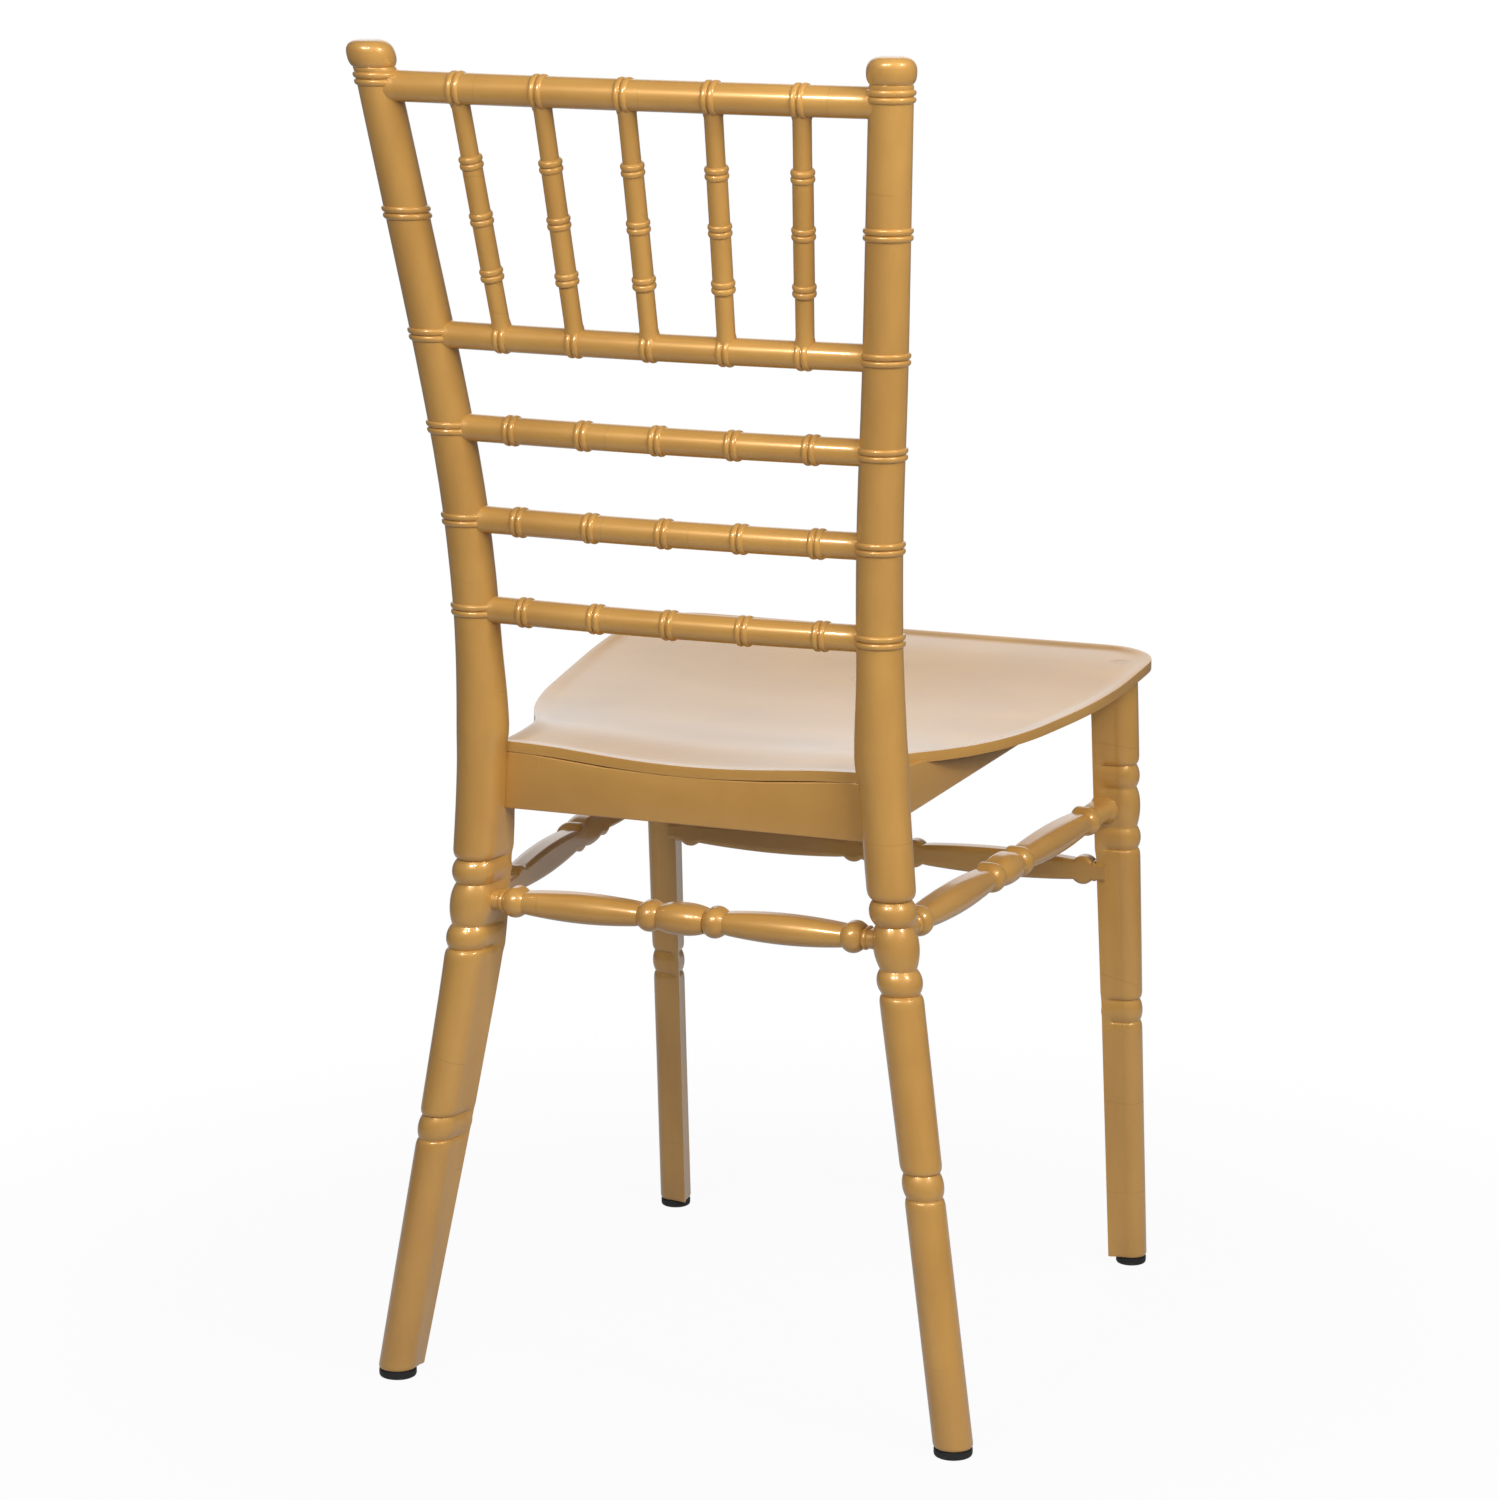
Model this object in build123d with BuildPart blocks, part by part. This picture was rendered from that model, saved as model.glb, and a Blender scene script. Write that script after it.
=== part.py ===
"""Resin banquet chair made of turned, bamboo-style members, each a piece of its own.

Millimetres. +Z is up, the sitter faces -Y and the sitter's left hand is on +X. Every piece is drawn where
it sits in the chair. Paired pieces are drawn on the left and mirrored to the right.
"""
import os
from math import cos, radians, sin

from build123d import *

# Axis of the left back post, which is also the rear leg: two straight runs that meet at a knee, with a
# wide bend to either side of it, seen from the front (x) and from the side (y)
REAR_FOOT_X, REAR_FOOT_Y = 204.2, 183.0
KNEE_X, KNEE_X_Z, KNEE_X_BEND = 130.5, 465.8, 195.0
KNEE_Y, KNEE_Y_Z, KNEE_Y_BEND = 146.9, 499.5, 248.0
TIP_X, TIP_Y = 176.6, 240.9

# Back post above the seat
POST_RADIUS_AT_SEAT, POST_RADIUS_AT_TOP = 15.6, 14.0
POST_FLARE_RADIUS, POST_FLARE_HEIGHT = 18.2, 75.0
RING_WIDTH, RING_PROUD = 8.5, 1.6
NECK_RADIUS = 11.9
FINIAL_RADIUS, FINIAL_HALF_HEIGHT, FINIAL_FLAT_RADIUS, FINIAL_SHOULDER = 15.5, 10.0, 5.0, 50.0
FINIAL_LEAN_X, FINIAL_LEAN_Y, FINIAL_RISE = 1.8, 2.5, 18.8

# Rails of the back, top to bottom, by height
CREST_Z, SPINDLE_RAIL_Z = 886.2, 723.5
LADDER_DROPS = {"upper_back_rail": 62.1, "middle_back_rail": 124.1, "lower_back_rail": 185.5}
LADDER_Z = {name: SPINDLE_RAIL_Z - drop for name, drop in LADDER_DROPS.items()}
EXTRA_RING_SHARE = 0.494
EXTRA_RING_Z = SPINDLE_RAIL_Z + EXTRA_RING_SHARE * (CREST_Z - SPINDLE_RAIL_Z)
TIP_Z = CREST_Z + FINIAL_RISE
CREST_RADIUS, RAIL_RADIUS = 10.0, 8.9
CREST_PITCH, RAIL_PITCH = 58.7, 52.5
RAIL_BOW = 7.0
COLLAR_WIDTH, COLLAR_PROUD = 8.0, 1.3
COLLAR_STEPS = (-2, -1, 0, 1, 2)

# Spindles: thicker between the outer collars
SPINDLE_END_RADIUS, SPINDLE_MIDDLE_RADIUS = 6.1, 6.7
SPINDLE_COLLARS = (0.29, 0.515, 0.74)
SPINDLE_COLLAR_WIDTH, SPINDLE_COLLAR_PROUD, SPINDLE_COLLAR_SLOPE = 6.5, 0.9, 0.0

# Legs: round outside, with a square corner turned to the middle of the chair
SEAT_FRONT_HALF, FRONT_LEG_INSET, FRONT_LEG_SPLAY = 201.0, 22.6, 4.0
FRONT_TOP_X, FRONT_TOP_Y, FRONT_TOP_Z = SEAT_FRONT_HALF - FRONT_LEG_INSET, -210.3, 452.0
FRONT_FOOT_X, FRONT_FOOT_Y = FRONT_TOP_X + FRONT_LEG_SPLAY, -247.8
REAR_SHANK_RADIUS, REAR_THIGH_RADIUS, REAR_TOP_RADIUS = 13.3, 14.7, 16.2
REAR_GROUP_RADIUS = 15.3
FRONT_SHANK_RADIUS, FRONT_THIGH_RADIUS, FRONT_TOP_RADIUS = 11.4, 12.4, 13.0
REAR_BEAD_Z, REAR_BALL_Z = 178.1, 334.4
FRONT_BEAD_Z, FRONT_BALL_Z = 196.5, 350.2
BEAD_WIDTH, BALL_WIDTH, BEAD_SPACING = 15.6, 28.0, 23.2
BEAD_SLOPE, BALL_SLOPE = 3.5, 7.5
GROOVE_DEPTH, GROOVE_FLOOR = 2.2, 1.0
BEAD_PROUD = 0.3
THIGH_TAPER = 0.9
REAR_FLAT_AT_FOOT, REAR_FLAT_AT_BEAD, REAR_FLAT_AT_SWELL, REAR_FLAT_AT_SEAT = 1.0, 1.25, 1.28, 1.0
FRONT_FLAT_AT_FOOT, FRONT_FLAT_AT_SEAT = 1.15, 1.26
CORNER_RIB, RIB_DROP = 5.0, 0.3

# Feet: black glides pushed into the legs
FOOT_SHOWING, FOOT_INSET = 6.5, 0.4
STEM_RADIUS, STEM_LENGTH = 5.0, 14.0

# Stretchers: half round outside, flat-sided inside
REAR_STRETCHER_Z, SIDE_STRETCHER_REAR_Z = REAR_BALL_Z + 2.1, REAR_BALL_Z + 3.1
SIDE_STRETCHER_FRONT_Z, FRONT_STRETCHER_Z = FRONT_BALL_Z - 1.2, FRONT_BALL_Z - 48.2
REAR_STRETCHER_INSET, SIDE_STRETCHER_INSET, FRONT_STRETCHER_INSET = 3.0, 7.0, 6.5
STRETCHER_FLAT_DEPTH = 9.5
BARREL_HALF, BARREL_SLOPE = 18.6, 9.0
BARREL_RADIUS, STRETCHER_BEAD_RADIUS = 10.35, 10.2
STRETCHER_WAIST_RADIUS, VASE_RADIUS = 7.3, 9.8
STRETCHER_BEAD_WIDTH, STRETCHER_BEAD_SLOPE = 9.5, 2.4
END_BEAD_RADIUS, END_BEAD_WIDTH = 7.85, 5.0
PLAIN_NECK, SIDE_NECK = 0.5, 21.0
TENON_RADIUS, TENON_LENGTH = 6.8, 6.0

# Seat: thin panel, dished on top, which slopes down to the back
SEAT_FRONT_Y, SEAT_REAR_Y = -251.7, 157.4
SEAT_FRONT_Z, SEAT_REAR_Z = 459.4, 446.6
SEAT_CORNER = 45.0
SEAT_SWELL_DEPTHS, SEAT_SWELL_WIDTHS = (0.24, 0.507), (0.33, 0.68)
SEAT_POST_BITE = 3.0
SEAT_LIP, SEAT_LIP_ROUND = 7.0, 1.8
SEAT_MIDDLE_Y = -27.0
DISH_HALF, DISH_DEPTH, DISH_FRONT_Y = 115.0, 6.5, -187.0
DIMPLE_RADIUS, DIMPLE_DEPTH = 5.0, 0.8
DOWEL_RADIUS, DOWEL_LENGTH = 5.0, 3.5

# Aprons: boards under the seat, housed in the legs
APRON_THICKNESS, APRON_HOUSING = 8.0, 6.0
REAR_APRON_BOTTOM_Z, REAR_APRON_INSET = SEAT_REAR_Z - 46.1, 8.0
SIDE_APRON_REAR_Z, SIDE_APRON_FRONT_Z = SEAT_REAR_Z - 35.6, SEAT_FRONT_Z - 19.1
SIDE_APRON_INSET = 6.0

# Fits
RAIL_PLUG, SPINDLE_PLUG = 8.0, 4.5
SIDE_CLEARANCE, END_CLEARANCE = 0.1, 0.2
NOTCH_CLEARANCE = 0.3
SHOULDER_GAP = 1.3
OVERLAP = 2.0

INWARD = Vector(-1, 0, 0)
FORWARD = Vector(0, -1, 0)
BACKWARD = Vector(0, 1, 0)
UP = Vector(0, 0, 1)


# Places along the legs and the seat

def bent(height, foot, knee, knee_z, bend, tip):
    """Offset at a height of two straight runs that meet at a knee, eased by a parabola within the bend."""
    lower_slope = (knee - foot) / knee_z
    upper_slope = (tip - knee) / (TIP_Z - knee_z)
    rise = height - knee_z
    if rise < -bend:
        return knee + lower_slope * rise
    if rise > bend:
        return knee + upper_slope * rise
    return knee + lower_slope * rise + (upper_slope - lower_slope) * (rise + bend) ** 2 / (4 * bend)


def post_point(height):
    """Point of the left back post's axis at a height."""
    return Vector(
        bent(height, REAR_FOOT_X, KNEE_X, KNEE_X_Z, KNEE_X_BEND, TIP_X),
        bent(height, REAR_FOOT_Y, KNEE_Y, KNEE_Y_Z, KNEE_Y_BEND, TIP_Y),
        height,
    )


def front_point(height):
    """Point of the left front leg's straight axis at a height."""
    foot = Vector(FRONT_FOOT_X, FRONT_FOOT_Y, 0)
    top = Vector(FRONT_TOP_X, FRONT_TOP_Y, FRONT_TOP_Z)
    return foot + (top - foot) * (height / FRONT_TOP_Z)


def seat_height(y):
    """Height of the seat's flat rim at a depth."""
    share = (y - SEAT_FRONT_Y) / (SEAT_REAR_Y - SEAT_FRONT_Y)
    return SEAT_FRONT_Z + (SEAT_REAR_Z - SEAT_FRONT_Z) * share


# Height at which the post's flare starts, just clear of the seat in front of it
seat_joint_z = seat_height(post_point(SEAT_REAR_Z).Y - POST_FLARE_RADIUS) + NOTCH_CLEARANCE


def post_radius(height):
    """Radius of the back post above the seat, which thins towards the finial."""
    rise = (height - seat_joint_z) / (CREST_Z - seat_joint_z)
    return POST_RADIUS_AT_SEAT + rise * (POST_RADIUS_AT_TOP - POST_RADIUS_AT_SEAT)


class Leg:
    """A leg's axis, the way it faces the middle of the chair, and how its inner flats widen with height."""

    def __init__(self, point, facing, flat_stops):
        self.point = point
        self.facing = facing
        self.flat_stops = flat_stops

    def flat(self, height, radius):
        """Distance from the axis at which the inner flats reach their corner, from the turned radius."""
        for (low, low_share), (high, high_share) in zip(self.flat_stops, self.flat_stops[1:]):
            if height <= high:
                break
        return radius * (low_share + (high_share - low_share) * (height - low) / (high - low))


SWELL_Z = REAR_BALL_Z - BEAD_SPACING - BEAD_WIDTH / 2 - 3 * GROOVE_DEPTH
rear_leg = Leg(
    post_point,
    FORWARD,
    [
        (0, REAR_FLAT_AT_FOOT),
        (REAR_BEAD_Z, REAR_FLAT_AT_BEAD),
        (SWELL_Z, REAR_FLAT_AT_SWELL),
        (seat_joint_z, REAR_FLAT_AT_SEAT),
    ],
)
fore_leg = Leg(front_point, BACKWARD, [(0, FRONT_FLAT_AT_FOOT), (FRONT_TOP_Z, FRONT_FLAT_AT_SEAT)])


def seat_plane(drop):
    """Plane of the seat's rim, lowered by a drop, with its origin in the seat's middle."""
    slope = Vector(0, SEAT_REAR_Y - SEAT_FRONT_Y, SEAT_REAR_Z - SEAT_FRONT_Z)
    normal = Vector(1, 0, 0).cross(slope).normalized()
    middle = Vector(0, SEAT_MIDDLE_Y, seat_height(SEAT_MIDDLE_Y))
    return Plane(origin=middle - normal * drop, x_dir=(1, 0, 0), z_dir=normal)


# Turned forms

def axis_plane(start, end, toward):
    """Plane on a straight axis: x leans to a direction, y runs from start to end."""
    along = (end - start).normalized()
    across = (toward - along * toward.dot(along)).normalized()
    return Plane(origin=start, x_dir=across, z_dir=across.cross(along))


def turned(start, end, outline):
    """Solid of an outline, in (radius, distance from start) pairs, spun about the axis."""
    toward = INWARD if abs((end - start).normalized().Z) > 0.7 else UP
    with BuildPart() as turning:
        with BuildSketch(axis_plane(start, end, toward)):
            with BuildLine():
                Polyline((0, outline[0][1]), *outline, (0, outline[-1][1]), close=True)
            make_face()
        revolve(axis=Axis(start, end - start))
    return turning.part


def rod(start, end, radius):
    """Plain round rod from start to end."""
    return turned(start, end, [(radius, 0), (radius, (end - start).length)])


def band(centre, width, proud, slope, below, above):
    """Outline of a ring, its sides sloped or square, on a shaft with one radius below it and one above."""
    crown = max(below, above) + proud
    return [
        (below, centre - width / 2),
        (crown, centre - width / 2 + slope),
        (crown, centre + width / 2 - slope),
        (above, centre + width / 2),
    ]


def bead(centre, width, slope, crown):
    """Outline of a turned bead between two grooves."""
    groove = crown - GROOVE_DEPTH
    return [
        (groove, centre - width / 2),
        (crown, centre - width / 2 + slope),
        (crown, centre + width / 2 - slope),
        (groove, centre + width / 2),
    ]


def crossed(start, end, profile, facing, flare):
    """Solid common to a profile, in (distance, station) pairs, pushed forward and the same pushed inward.

    Each push drifts sideways by the flare, so that the flats leave the round and meet in a corner at the
    profile's distance.
    """
    eased = [(distance * (1 - flare), station) for distance, station in profile]
    reach = 2 * max(distance for distance, _ in profile)
    with BuildPart() as common:
        with BuildSketch(axis_plane(start, end, INWARD)):
            with BuildLine():
                Polyline(*eased, close=True)
            make_face()
        extrude(amount=reach, dir=facing + INWARD * flare)
        with BuildSketch(axis_plane(start, end, facing)):
            with BuildLine():
                Polyline(*eased, close=True)
            make_face()
        extrude(amount=reach, dir=INWARD + facing * flare, mode=Mode.INTERSECT)
    return common.part


def leg_span(leg, low, high, outline, corner_high=None):
    """Turned length of a leg between two heights, with its square inner corner, which may stop lower."""
    start, end = leg.point(low), leg.point(high)
    stretch = (end - start).length / (high - low)

    def station(height):
        return (height - low) * stretch

    turning = turned(start, end, [(radius, station(height)) for radius, height in outline])
    corner = list(outline)
    if corner_high:
        corner[-1] = (corner[-1][0], corner_high)
    foot, top = corner[0][1], corner[-1][1]
    widest = max(radius for radius, _ in corner)
    flats = [(leg.flat(height, radius), station(height)) for radius, height in corner]
    rib_foot, rib_top = leg.flat(foot, widest) - RIB_DROP, leg.flat(top, widest) - RIB_DROP
    rib = [
        (rib_foot - CORNER_RIB, station(foot)),
        (rib_foot, station(foot)),
        (rib_top, station(top)),
        (rib_top - CORNER_RIB, station(top)),
    ]
    flare = 1 - widest / max(leg.flat(foot, widest), leg.flat(top, widest))
    block = crossed(start, end, [(0, station(foot)), *flats, (0, station(top))], leg.facing, flare)
    edge = crossed(start, end, rib, leg.facing, flare)
    with BuildPart() as span:
        add(turning)
        add(block)
        add(edge)
    return span.part


def shank_outline(radius, bead_z, low):
    """Lowest length of a leg, up to the groove over its single bead."""
    crown = radius + BEAD_PROUD
    groove = crown - GROOVE_DEPTH
    return [
        (radius, low),
        (radius, bead_z - BEAD_WIDTH / 2 - GROOVE_DEPTH),
        *bead(bead_z, BEAD_WIDTH, BEAD_SLOPE, crown),
        (groove, bead_z + BEAD_WIDTH / 2 + GROOVE_FLOOR + OVERLAP),
    ]


def thigh_outline(radius, bead_z, ball_z):
    """Length of a leg between its single bead and the group of three."""
    groove = radius - GROOVE_DEPTH
    low = bead_z + BEAD_WIDTH / 2 + GROOVE_FLOOR
    high = ball_z - BEAD_SPACING - BEAD_WIDTH / 2
    return [
        (groove - THIGH_TAPER, low),
        (radius - THIGH_TAPER, low + GROOVE_DEPTH),
        (radius, high - 3 * GROOVE_DEPTH),
        (groove, high - GROOVE_DEPTH),
        (groove, high + OVERLAP),
    ]


def group_outline(radius, ball_z):
    """Bead, ball and bead near the top of a leg."""
    groove = radius - GROOVE_DEPTH
    return [
        *bead(ball_z - BEAD_SPACING, BEAD_WIDTH, BEAD_SLOPE, radius),
        *bead(ball_z, BALL_WIDTH, BALL_SLOPE, radius),
        *bead(ball_z + BEAD_SPACING, BEAD_WIDTH, BEAD_SLOPE, radius),
        (groove, ball_z + BEAD_SPACING + BEAD_WIDTH / 2 + GROOVE_FLOOR + OVERLAP),
    ]


def top_outline(radius, ball_z, high):
    """Plain length over the group of three."""
    groove = radius - GROOVE_DEPTH
    low = ball_z + BEAD_SPACING + BEAD_WIDTH / 2 + GROOVE_FLOOR
    return [(groove, low), (radius, low + GROOVE_DEPTH), (radius, high)]


# Sockets and stems

def stem_socket(foot):
    """Socket for a glide's stem, from the cut end of a leg upwards."""
    low = Vector(foot.X, foot.Y, 0)
    return rod(low, low + UP * (FOOT_SHOWING + STEM_LENGTH + END_CLEARANCE), STEM_RADIUS + SIDE_CLEARANCE)


def rail_point(height, x):
    """Point of a rail's axis, which bows backward between the posts."""
    post = post_point(height)
    return Vector(x, post.Y + RAIL_BOW * (1 - (x / post.X) ** 2), height)


def rail_stops(height, pitch):
    """Points of a rail's axis from right to left: the end of its plug, its collars and the other end."""
    plug_end = post_point(height).X - post_radius(height) + RAIL_PLUG
    return [rail_point(height, x) for x in (-plug_end, *(step * pitch for step in COLLAR_STEPS), plug_end)]


def stretcher_line(start, end, inset, inward):
    """Axis of a stretcher between two leg axes, moved to the middle of the chair."""
    return start + inward * inset, end + inward * inset


rear_line = stretcher_line(
    post_point(REAR_STRETCHER_Z),
    Vector(-post_point(REAR_STRETCHER_Z).X, post_point(REAR_STRETCHER_Z).Y, REAR_STRETCHER_Z),
    REAR_STRETCHER_INSET,
    FORWARD,
)
front_line = stretcher_line(
    front_point(FRONT_STRETCHER_Z),
    Vector(-front_point(FRONT_STRETCHER_Z).X, front_point(FRONT_STRETCHER_Z).Y, FRONT_STRETCHER_Z),
    FRONT_STRETCHER_INSET,
    BACKWARD,
)
side_line = stretcher_line(
    post_point(SIDE_STRETCHER_REAR_Z),
    front_point(SIDE_STRETCHER_FRONT_Z),
    SIDE_STRETCHER_INSET,
    INWARD,
)
rear_flat = rear_leg.flat(REAR_STRETCHER_Z, REAR_GROUP_RADIUS)
front_flat = fore_leg.flat(FRONT_STRETCHER_Z, FRONT_THIGH_RADIUS)
side_rear_flat = rear_leg.flat(SIDE_STRETCHER_REAR_Z, REAR_GROUP_RADIUS)
side_front_flat = fore_leg.flat(SIDE_STRETCHER_FRONT_Z, FRONT_TOP_RADIUS)


def tenon_socket(line, flat):
    """Socket in a leg for the tenon at the start of a stretcher."""
    start, end = line
    along = (end - start).normalized()
    return rod(
        start + along * (flat - TENON_LENGTH - END_CLEARANCE),
        start + along * (flat + STRETCHER_FLAT_DEPTH),
        TENON_RADIUS + SIDE_CLEARANCE,
    )


# Aprons, wanted early because the legs are housed round them

rear_apron_y = post_point(REAR_APRON_BOTTOM_Z).Y - REAR_APRON_INSET
rear_apron_bite = rear_leg.flat(REAR_APRON_BOTTOM_Z, REAR_TOP_RADIUS) - APRON_HOUSING
side_apron_rear_bite = rear_leg.flat(SIDE_APRON_REAR_Z, REAR_TOP_RADIUS) - APRON_HOUSING
side_apron_front_bite = fore_leg.flat(SIDE_APRON_FRONT_Z, FRONT_TOP_RADIUS) - APRON_HOUSING
apron_shift = INWARD * SIDE_APRON_INSET
side_apron_rear = post_point(SIDE_APRON_REAR_Z) + FORWARD * side_apron_rear_bite + apron_shift
side_apron_front = front_point(SIDE_APRON_FRONT_Z) + BACKWARD * side_apron_front_bite + apron_shift


def rear_apron_board(room, reach):
    """Rear board between the posts, its top edge dished like the seat, with room all round."""
    half = post_point(REAR_APRON_BOTTOM_Z).X - rear_apron_bite + reach
    top = seat_height(rear_apron_y + APRON_THICKNESS / 2) - SEAT_LIP - SIDE_CLEARANCE + room
    with BuildPart() as board:
        with BuildSketch(Plane(origin=(0, rear_apron_y, 0), x_dir=(1, 0, 0), z_dir=(0, -1, 0))):
            with BuildLine():
                ThreePointArc((DISH_HALF, top), (0, top - DISH_DEPTH), (-DISH_HALF, top))
                Polyline(
                    (-DISH_HALF, top),
                    (-half, top),
                    (-half, REAR_APRON_BOTTOM_Z - room),
                    (half, REAR_APRON_BOTTOM_Z - room),
                    (half, top),
                    (DISH_HALF, top),
                )
            make_face()
        extrude(amount=APRON_THICKNESS / 2 + room, both=True)
    return board.part


def side_apron_board(room, reach):
    """Left board, a wedge from the back post to the front leg, with room all round and twice that on top."""
    rear = Vector(side_apron_rear.X, side_apron_rear.Y, 0)
    front = Vector(side_apron_front.X, side_apron_front.Y, 0)
    along = (front - rear).normalized()
    length = (front - rear).length
    rear_top = seat_height(rear.Y) - SEAT_LIP - SIDE_CLEARANCE + 2 * room
    front_top = seat_height(front.Y) - SEAT_LIP - SIDE_CLEARANCE + 2 * room
    with BuildPart() as board:
        with BuildSketch(Plane(origin=rear, x_dir=along, z_dir=along.cross(UP))):
            with BuildLine():
                Polyline(
                    (-reach, SIDE_APRON_REAR_Z - room),
                    (length + reach, SIDE_APRON_FRONT_Z - room),
                    (length + reach, front_top),
                    (-reach, rear_top),
                    close=True,
                )
            make_face()
        extrude(amount=APRON_THICKNESS / 2 + room, both=True)
    return board.part


# Back posts

def finial():
    """Flattened ball on top of a back post."""
    tip = post_point(TIP_Z) - INWARD * FINIAL_LEAN_X + BACKWARD * FINIAL_LEAN_Y
    along = (post_point(TIP_Z) - post_point(CREST_Z)).normalized()
    shoulder = FINIAL_RADIUS * cos(radians(FINIAL_SHOULDER))
    rise = FINIAL_HALF_HEIGHT * sin(radians(FINIAL_SHOULDER))
    with BuildPart() as ball:
        with BuildSketch(axis_plane(tip, tip + along, INWARD)):
            with BuildLine():
                Polyline((0, -rise), (shoulder, -rise))
                ThreePointArc((shoulder, -rise), (FINIAL_RADIUS, 0), (shoulder, rise))
                Polyline(
                    (shoulder, rise),
                    (FINIAL_FLAT_RADIUS, FINIAL_HALF_HEIGHT),
                    (0, FINIAL_HALF_HEIGHT),
                    (0, -rise),
                )
            make_face()
        revolve(axis=Axis(tip, along))
    return ball.part


def back_post():
    """Left back post: turned rear leg, curved upright with rings, and finial."""
    post_rings = sorted([CREST_Z, SPINDLE_RAIL_Z, EXTRA_RING_Z, *LADDER_Z.values()])
    underside = seat_height(post_point(seat_joint_z).Y) - SEAT_LIP - NOTCH_CLEARANCE
    joint_low = REAR_BEAD_Z + BEAD_WIDTH / 2
    joint_group = REAR_BALL_Z - BEAD_SPACING - BEAD_WIDTH / 2
    joint_top = REAR_BALL_Z + BEAD_SPACING + BEAD_WIDTH / 2
    thigh = thigh_outline(REAR_THIGH_RADIUS, REAR_BEAD_Z, REAR_BALL_Z)
    top = top_outline(REAR_TOP_RADIUS, REAR_BALL_Z, seat_joint_z + OVERLAP)
    spans = [
        leg_span(rear_leg, 0, joint_low, shank_outline(REAR_SHANK_RADIUS, REAR_BEAD_Z, 0)),
        leg_span(rear_leg, joint_low, joint_group, thigh),
        leg_span(rear_leg, joint_group, joint_top, group_outline(REAR_GROUP_RADIUS, REAR_BALL_Z)),
        leg_span(rear_leg, joint_top, seat_joint_z, top, underside),
    ]
    flare_top = seat_joint_z + POST_FLARE_HEIGHT
    spans.append(turned(post_point(seat_joint_z), post_point(post_rings[0] + OVERLAP), [
        (POST_FLARE_RADIUS, 0),
        (post_radius(flare_top), POST_FLARE_HEIGHT),
        (post_radius(flare_top), post_rings[0] + OVERLAP - seat_joint_z),
    ]))
    for low, high in zip(post_rings, post_rings[1:]):
        radius = post_radius((low + high) / 2)
        spans.append(rod(post_point(low - OVERLAP), post_point(high + OVERLAP), radius))
    for ring_z in post_rings:
        start, end = post_point(ring_z - RING_WIDTH / 2), post_point(ring_z + RING_WIDTH / 2)
        root = post_radius(ring_z) - RING_PROUD
        depth = 2 * RING_PROUD
        spans.append(turned(start, end, band(RING_WIDTH / 2, RING_WIDTH + depth, depth, depth, root, root)))
    spans.append(rod(post_point(CREST_Z), post_point(TIP_Z), NECK_RADIUS))
    spans.append(finial())
    cuts = [
        stem_socket(post_point(FOOT_SHOWING)),
        tenon_socket(rear_line, rear_flat),
        tenon_socket(side_line, side_rear_flat),
        rear_apron_board(SIDE_CLEARANCE, END_CLEARANCE),
        side_apron_board(SIDE_CLEARANCE, END_CLEARANCE),
    ]
    rail_sizes = {CREST_Z: (CREST_RADIUS, CREST_PITCH)}
    for rail_z in (SPINDLE_RAIL_Z, *LADDER_Z.values()):
        rail_sizes[rail_z] = (RAIL_RADIUS, RAIL_PITCH)
    for rail_z, (radius, pitch) in rail_sizes.items():
        collar, end = rail_stops(rail_z, pitch)[-2:]
        along = (end - collar).normalized()
        mouth = end - along * (RAIL_PLUG + POST_RADIUS_AT_SEAT)
        cuts.append(rod(mouth, end + along * END_CLEARANCE, radius + SIDE_CLEARANCE))
    with BuildPart() as post:
        for span in spans:
            add(span)
        for cut in cuts:
            add(cut, mode=Mode.SUBTRACT)
        split(bisect_by=Plane.XY.offset(FOOT_SHOWING), keep=Keep.TOP)
    return post.part


def front_leg():
    """Left front leg, with a dowel up into the seat."""
    joint_low = FRONT_BEAD_Z + BEAD_WIDTH / 2
    group_low = FRONT_BALL_Z - BEAD_SPACING - BEAD_WIDTH / 2
    top_low = FRONT_BALL_Z + BEAD_SPACING + BEAD_WIDTH / 2
    reach = SEAT_FRONT_Z
    thigh = thigh_outline(FRONT_THIGH_RADIUS, FRONT_BEAD_Z, FRONT_BALL_Z)
    spans = [
        leg_span(fore_leg, 0, joint_low, shank_outline(FRONT_SHANK_RADIUS, FRONT_BEAD_Z, 0)),
        leg_span(fore_leg, joint_low, group_low, thigh),
        leg_span(fore_leg, group_low, top_low, group_outline(FRONT_TOP_RADIUS, FRONT_BALL_Z)),
        leg_span(fore_leg, top_low, reach, top_outline(FRONT_TOP_RADIUS, FRONT_BALL_Z, reach)),
    ]
    cuts = [
        stem_socket(front_point(FOOT_SHOWING)),
        tenon_socket(front_line, front_flat),
        tenon_socket((side_line[1], side_line[0]), side_front_flat),
        side_apron_board(SIDE_CLEARANCE, END_CLEARANCE),
    ]
    under = seat_plane(SEAT_LIP)
    dowel_root = front_top() - under.z_dir * OVERLAP
    with BuildPart() as leg:
        for span in spans:
            add(span)
        for cut in cuts:
            add(cut, mode=Mode.SUBTRACT)
        split(bisect_by=Plane.XY.offset(FOOT_SHOWING), keep=Keep.TOP)
        split(bisect_by=under, keep=Keep.BOTTOM)
        with BuildSketch(Plane(origin=dowel_root, x_dir=(1, 0, 0), z_dir=under.z_dir)):
            Circle(DOWEL_RADIUS)
        extrude(amount=OVERLAP + DOWEL_LENGTH)
    return leg.part


def front_top():
    """Middle of the front leg's top, on the seat's underside."""
    under = SEAT_FRONT_Z
    for _ in range(20):
        under = seat_height(front_point(under).Y) - SEAT_LIP
    return front_point(under)


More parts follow.
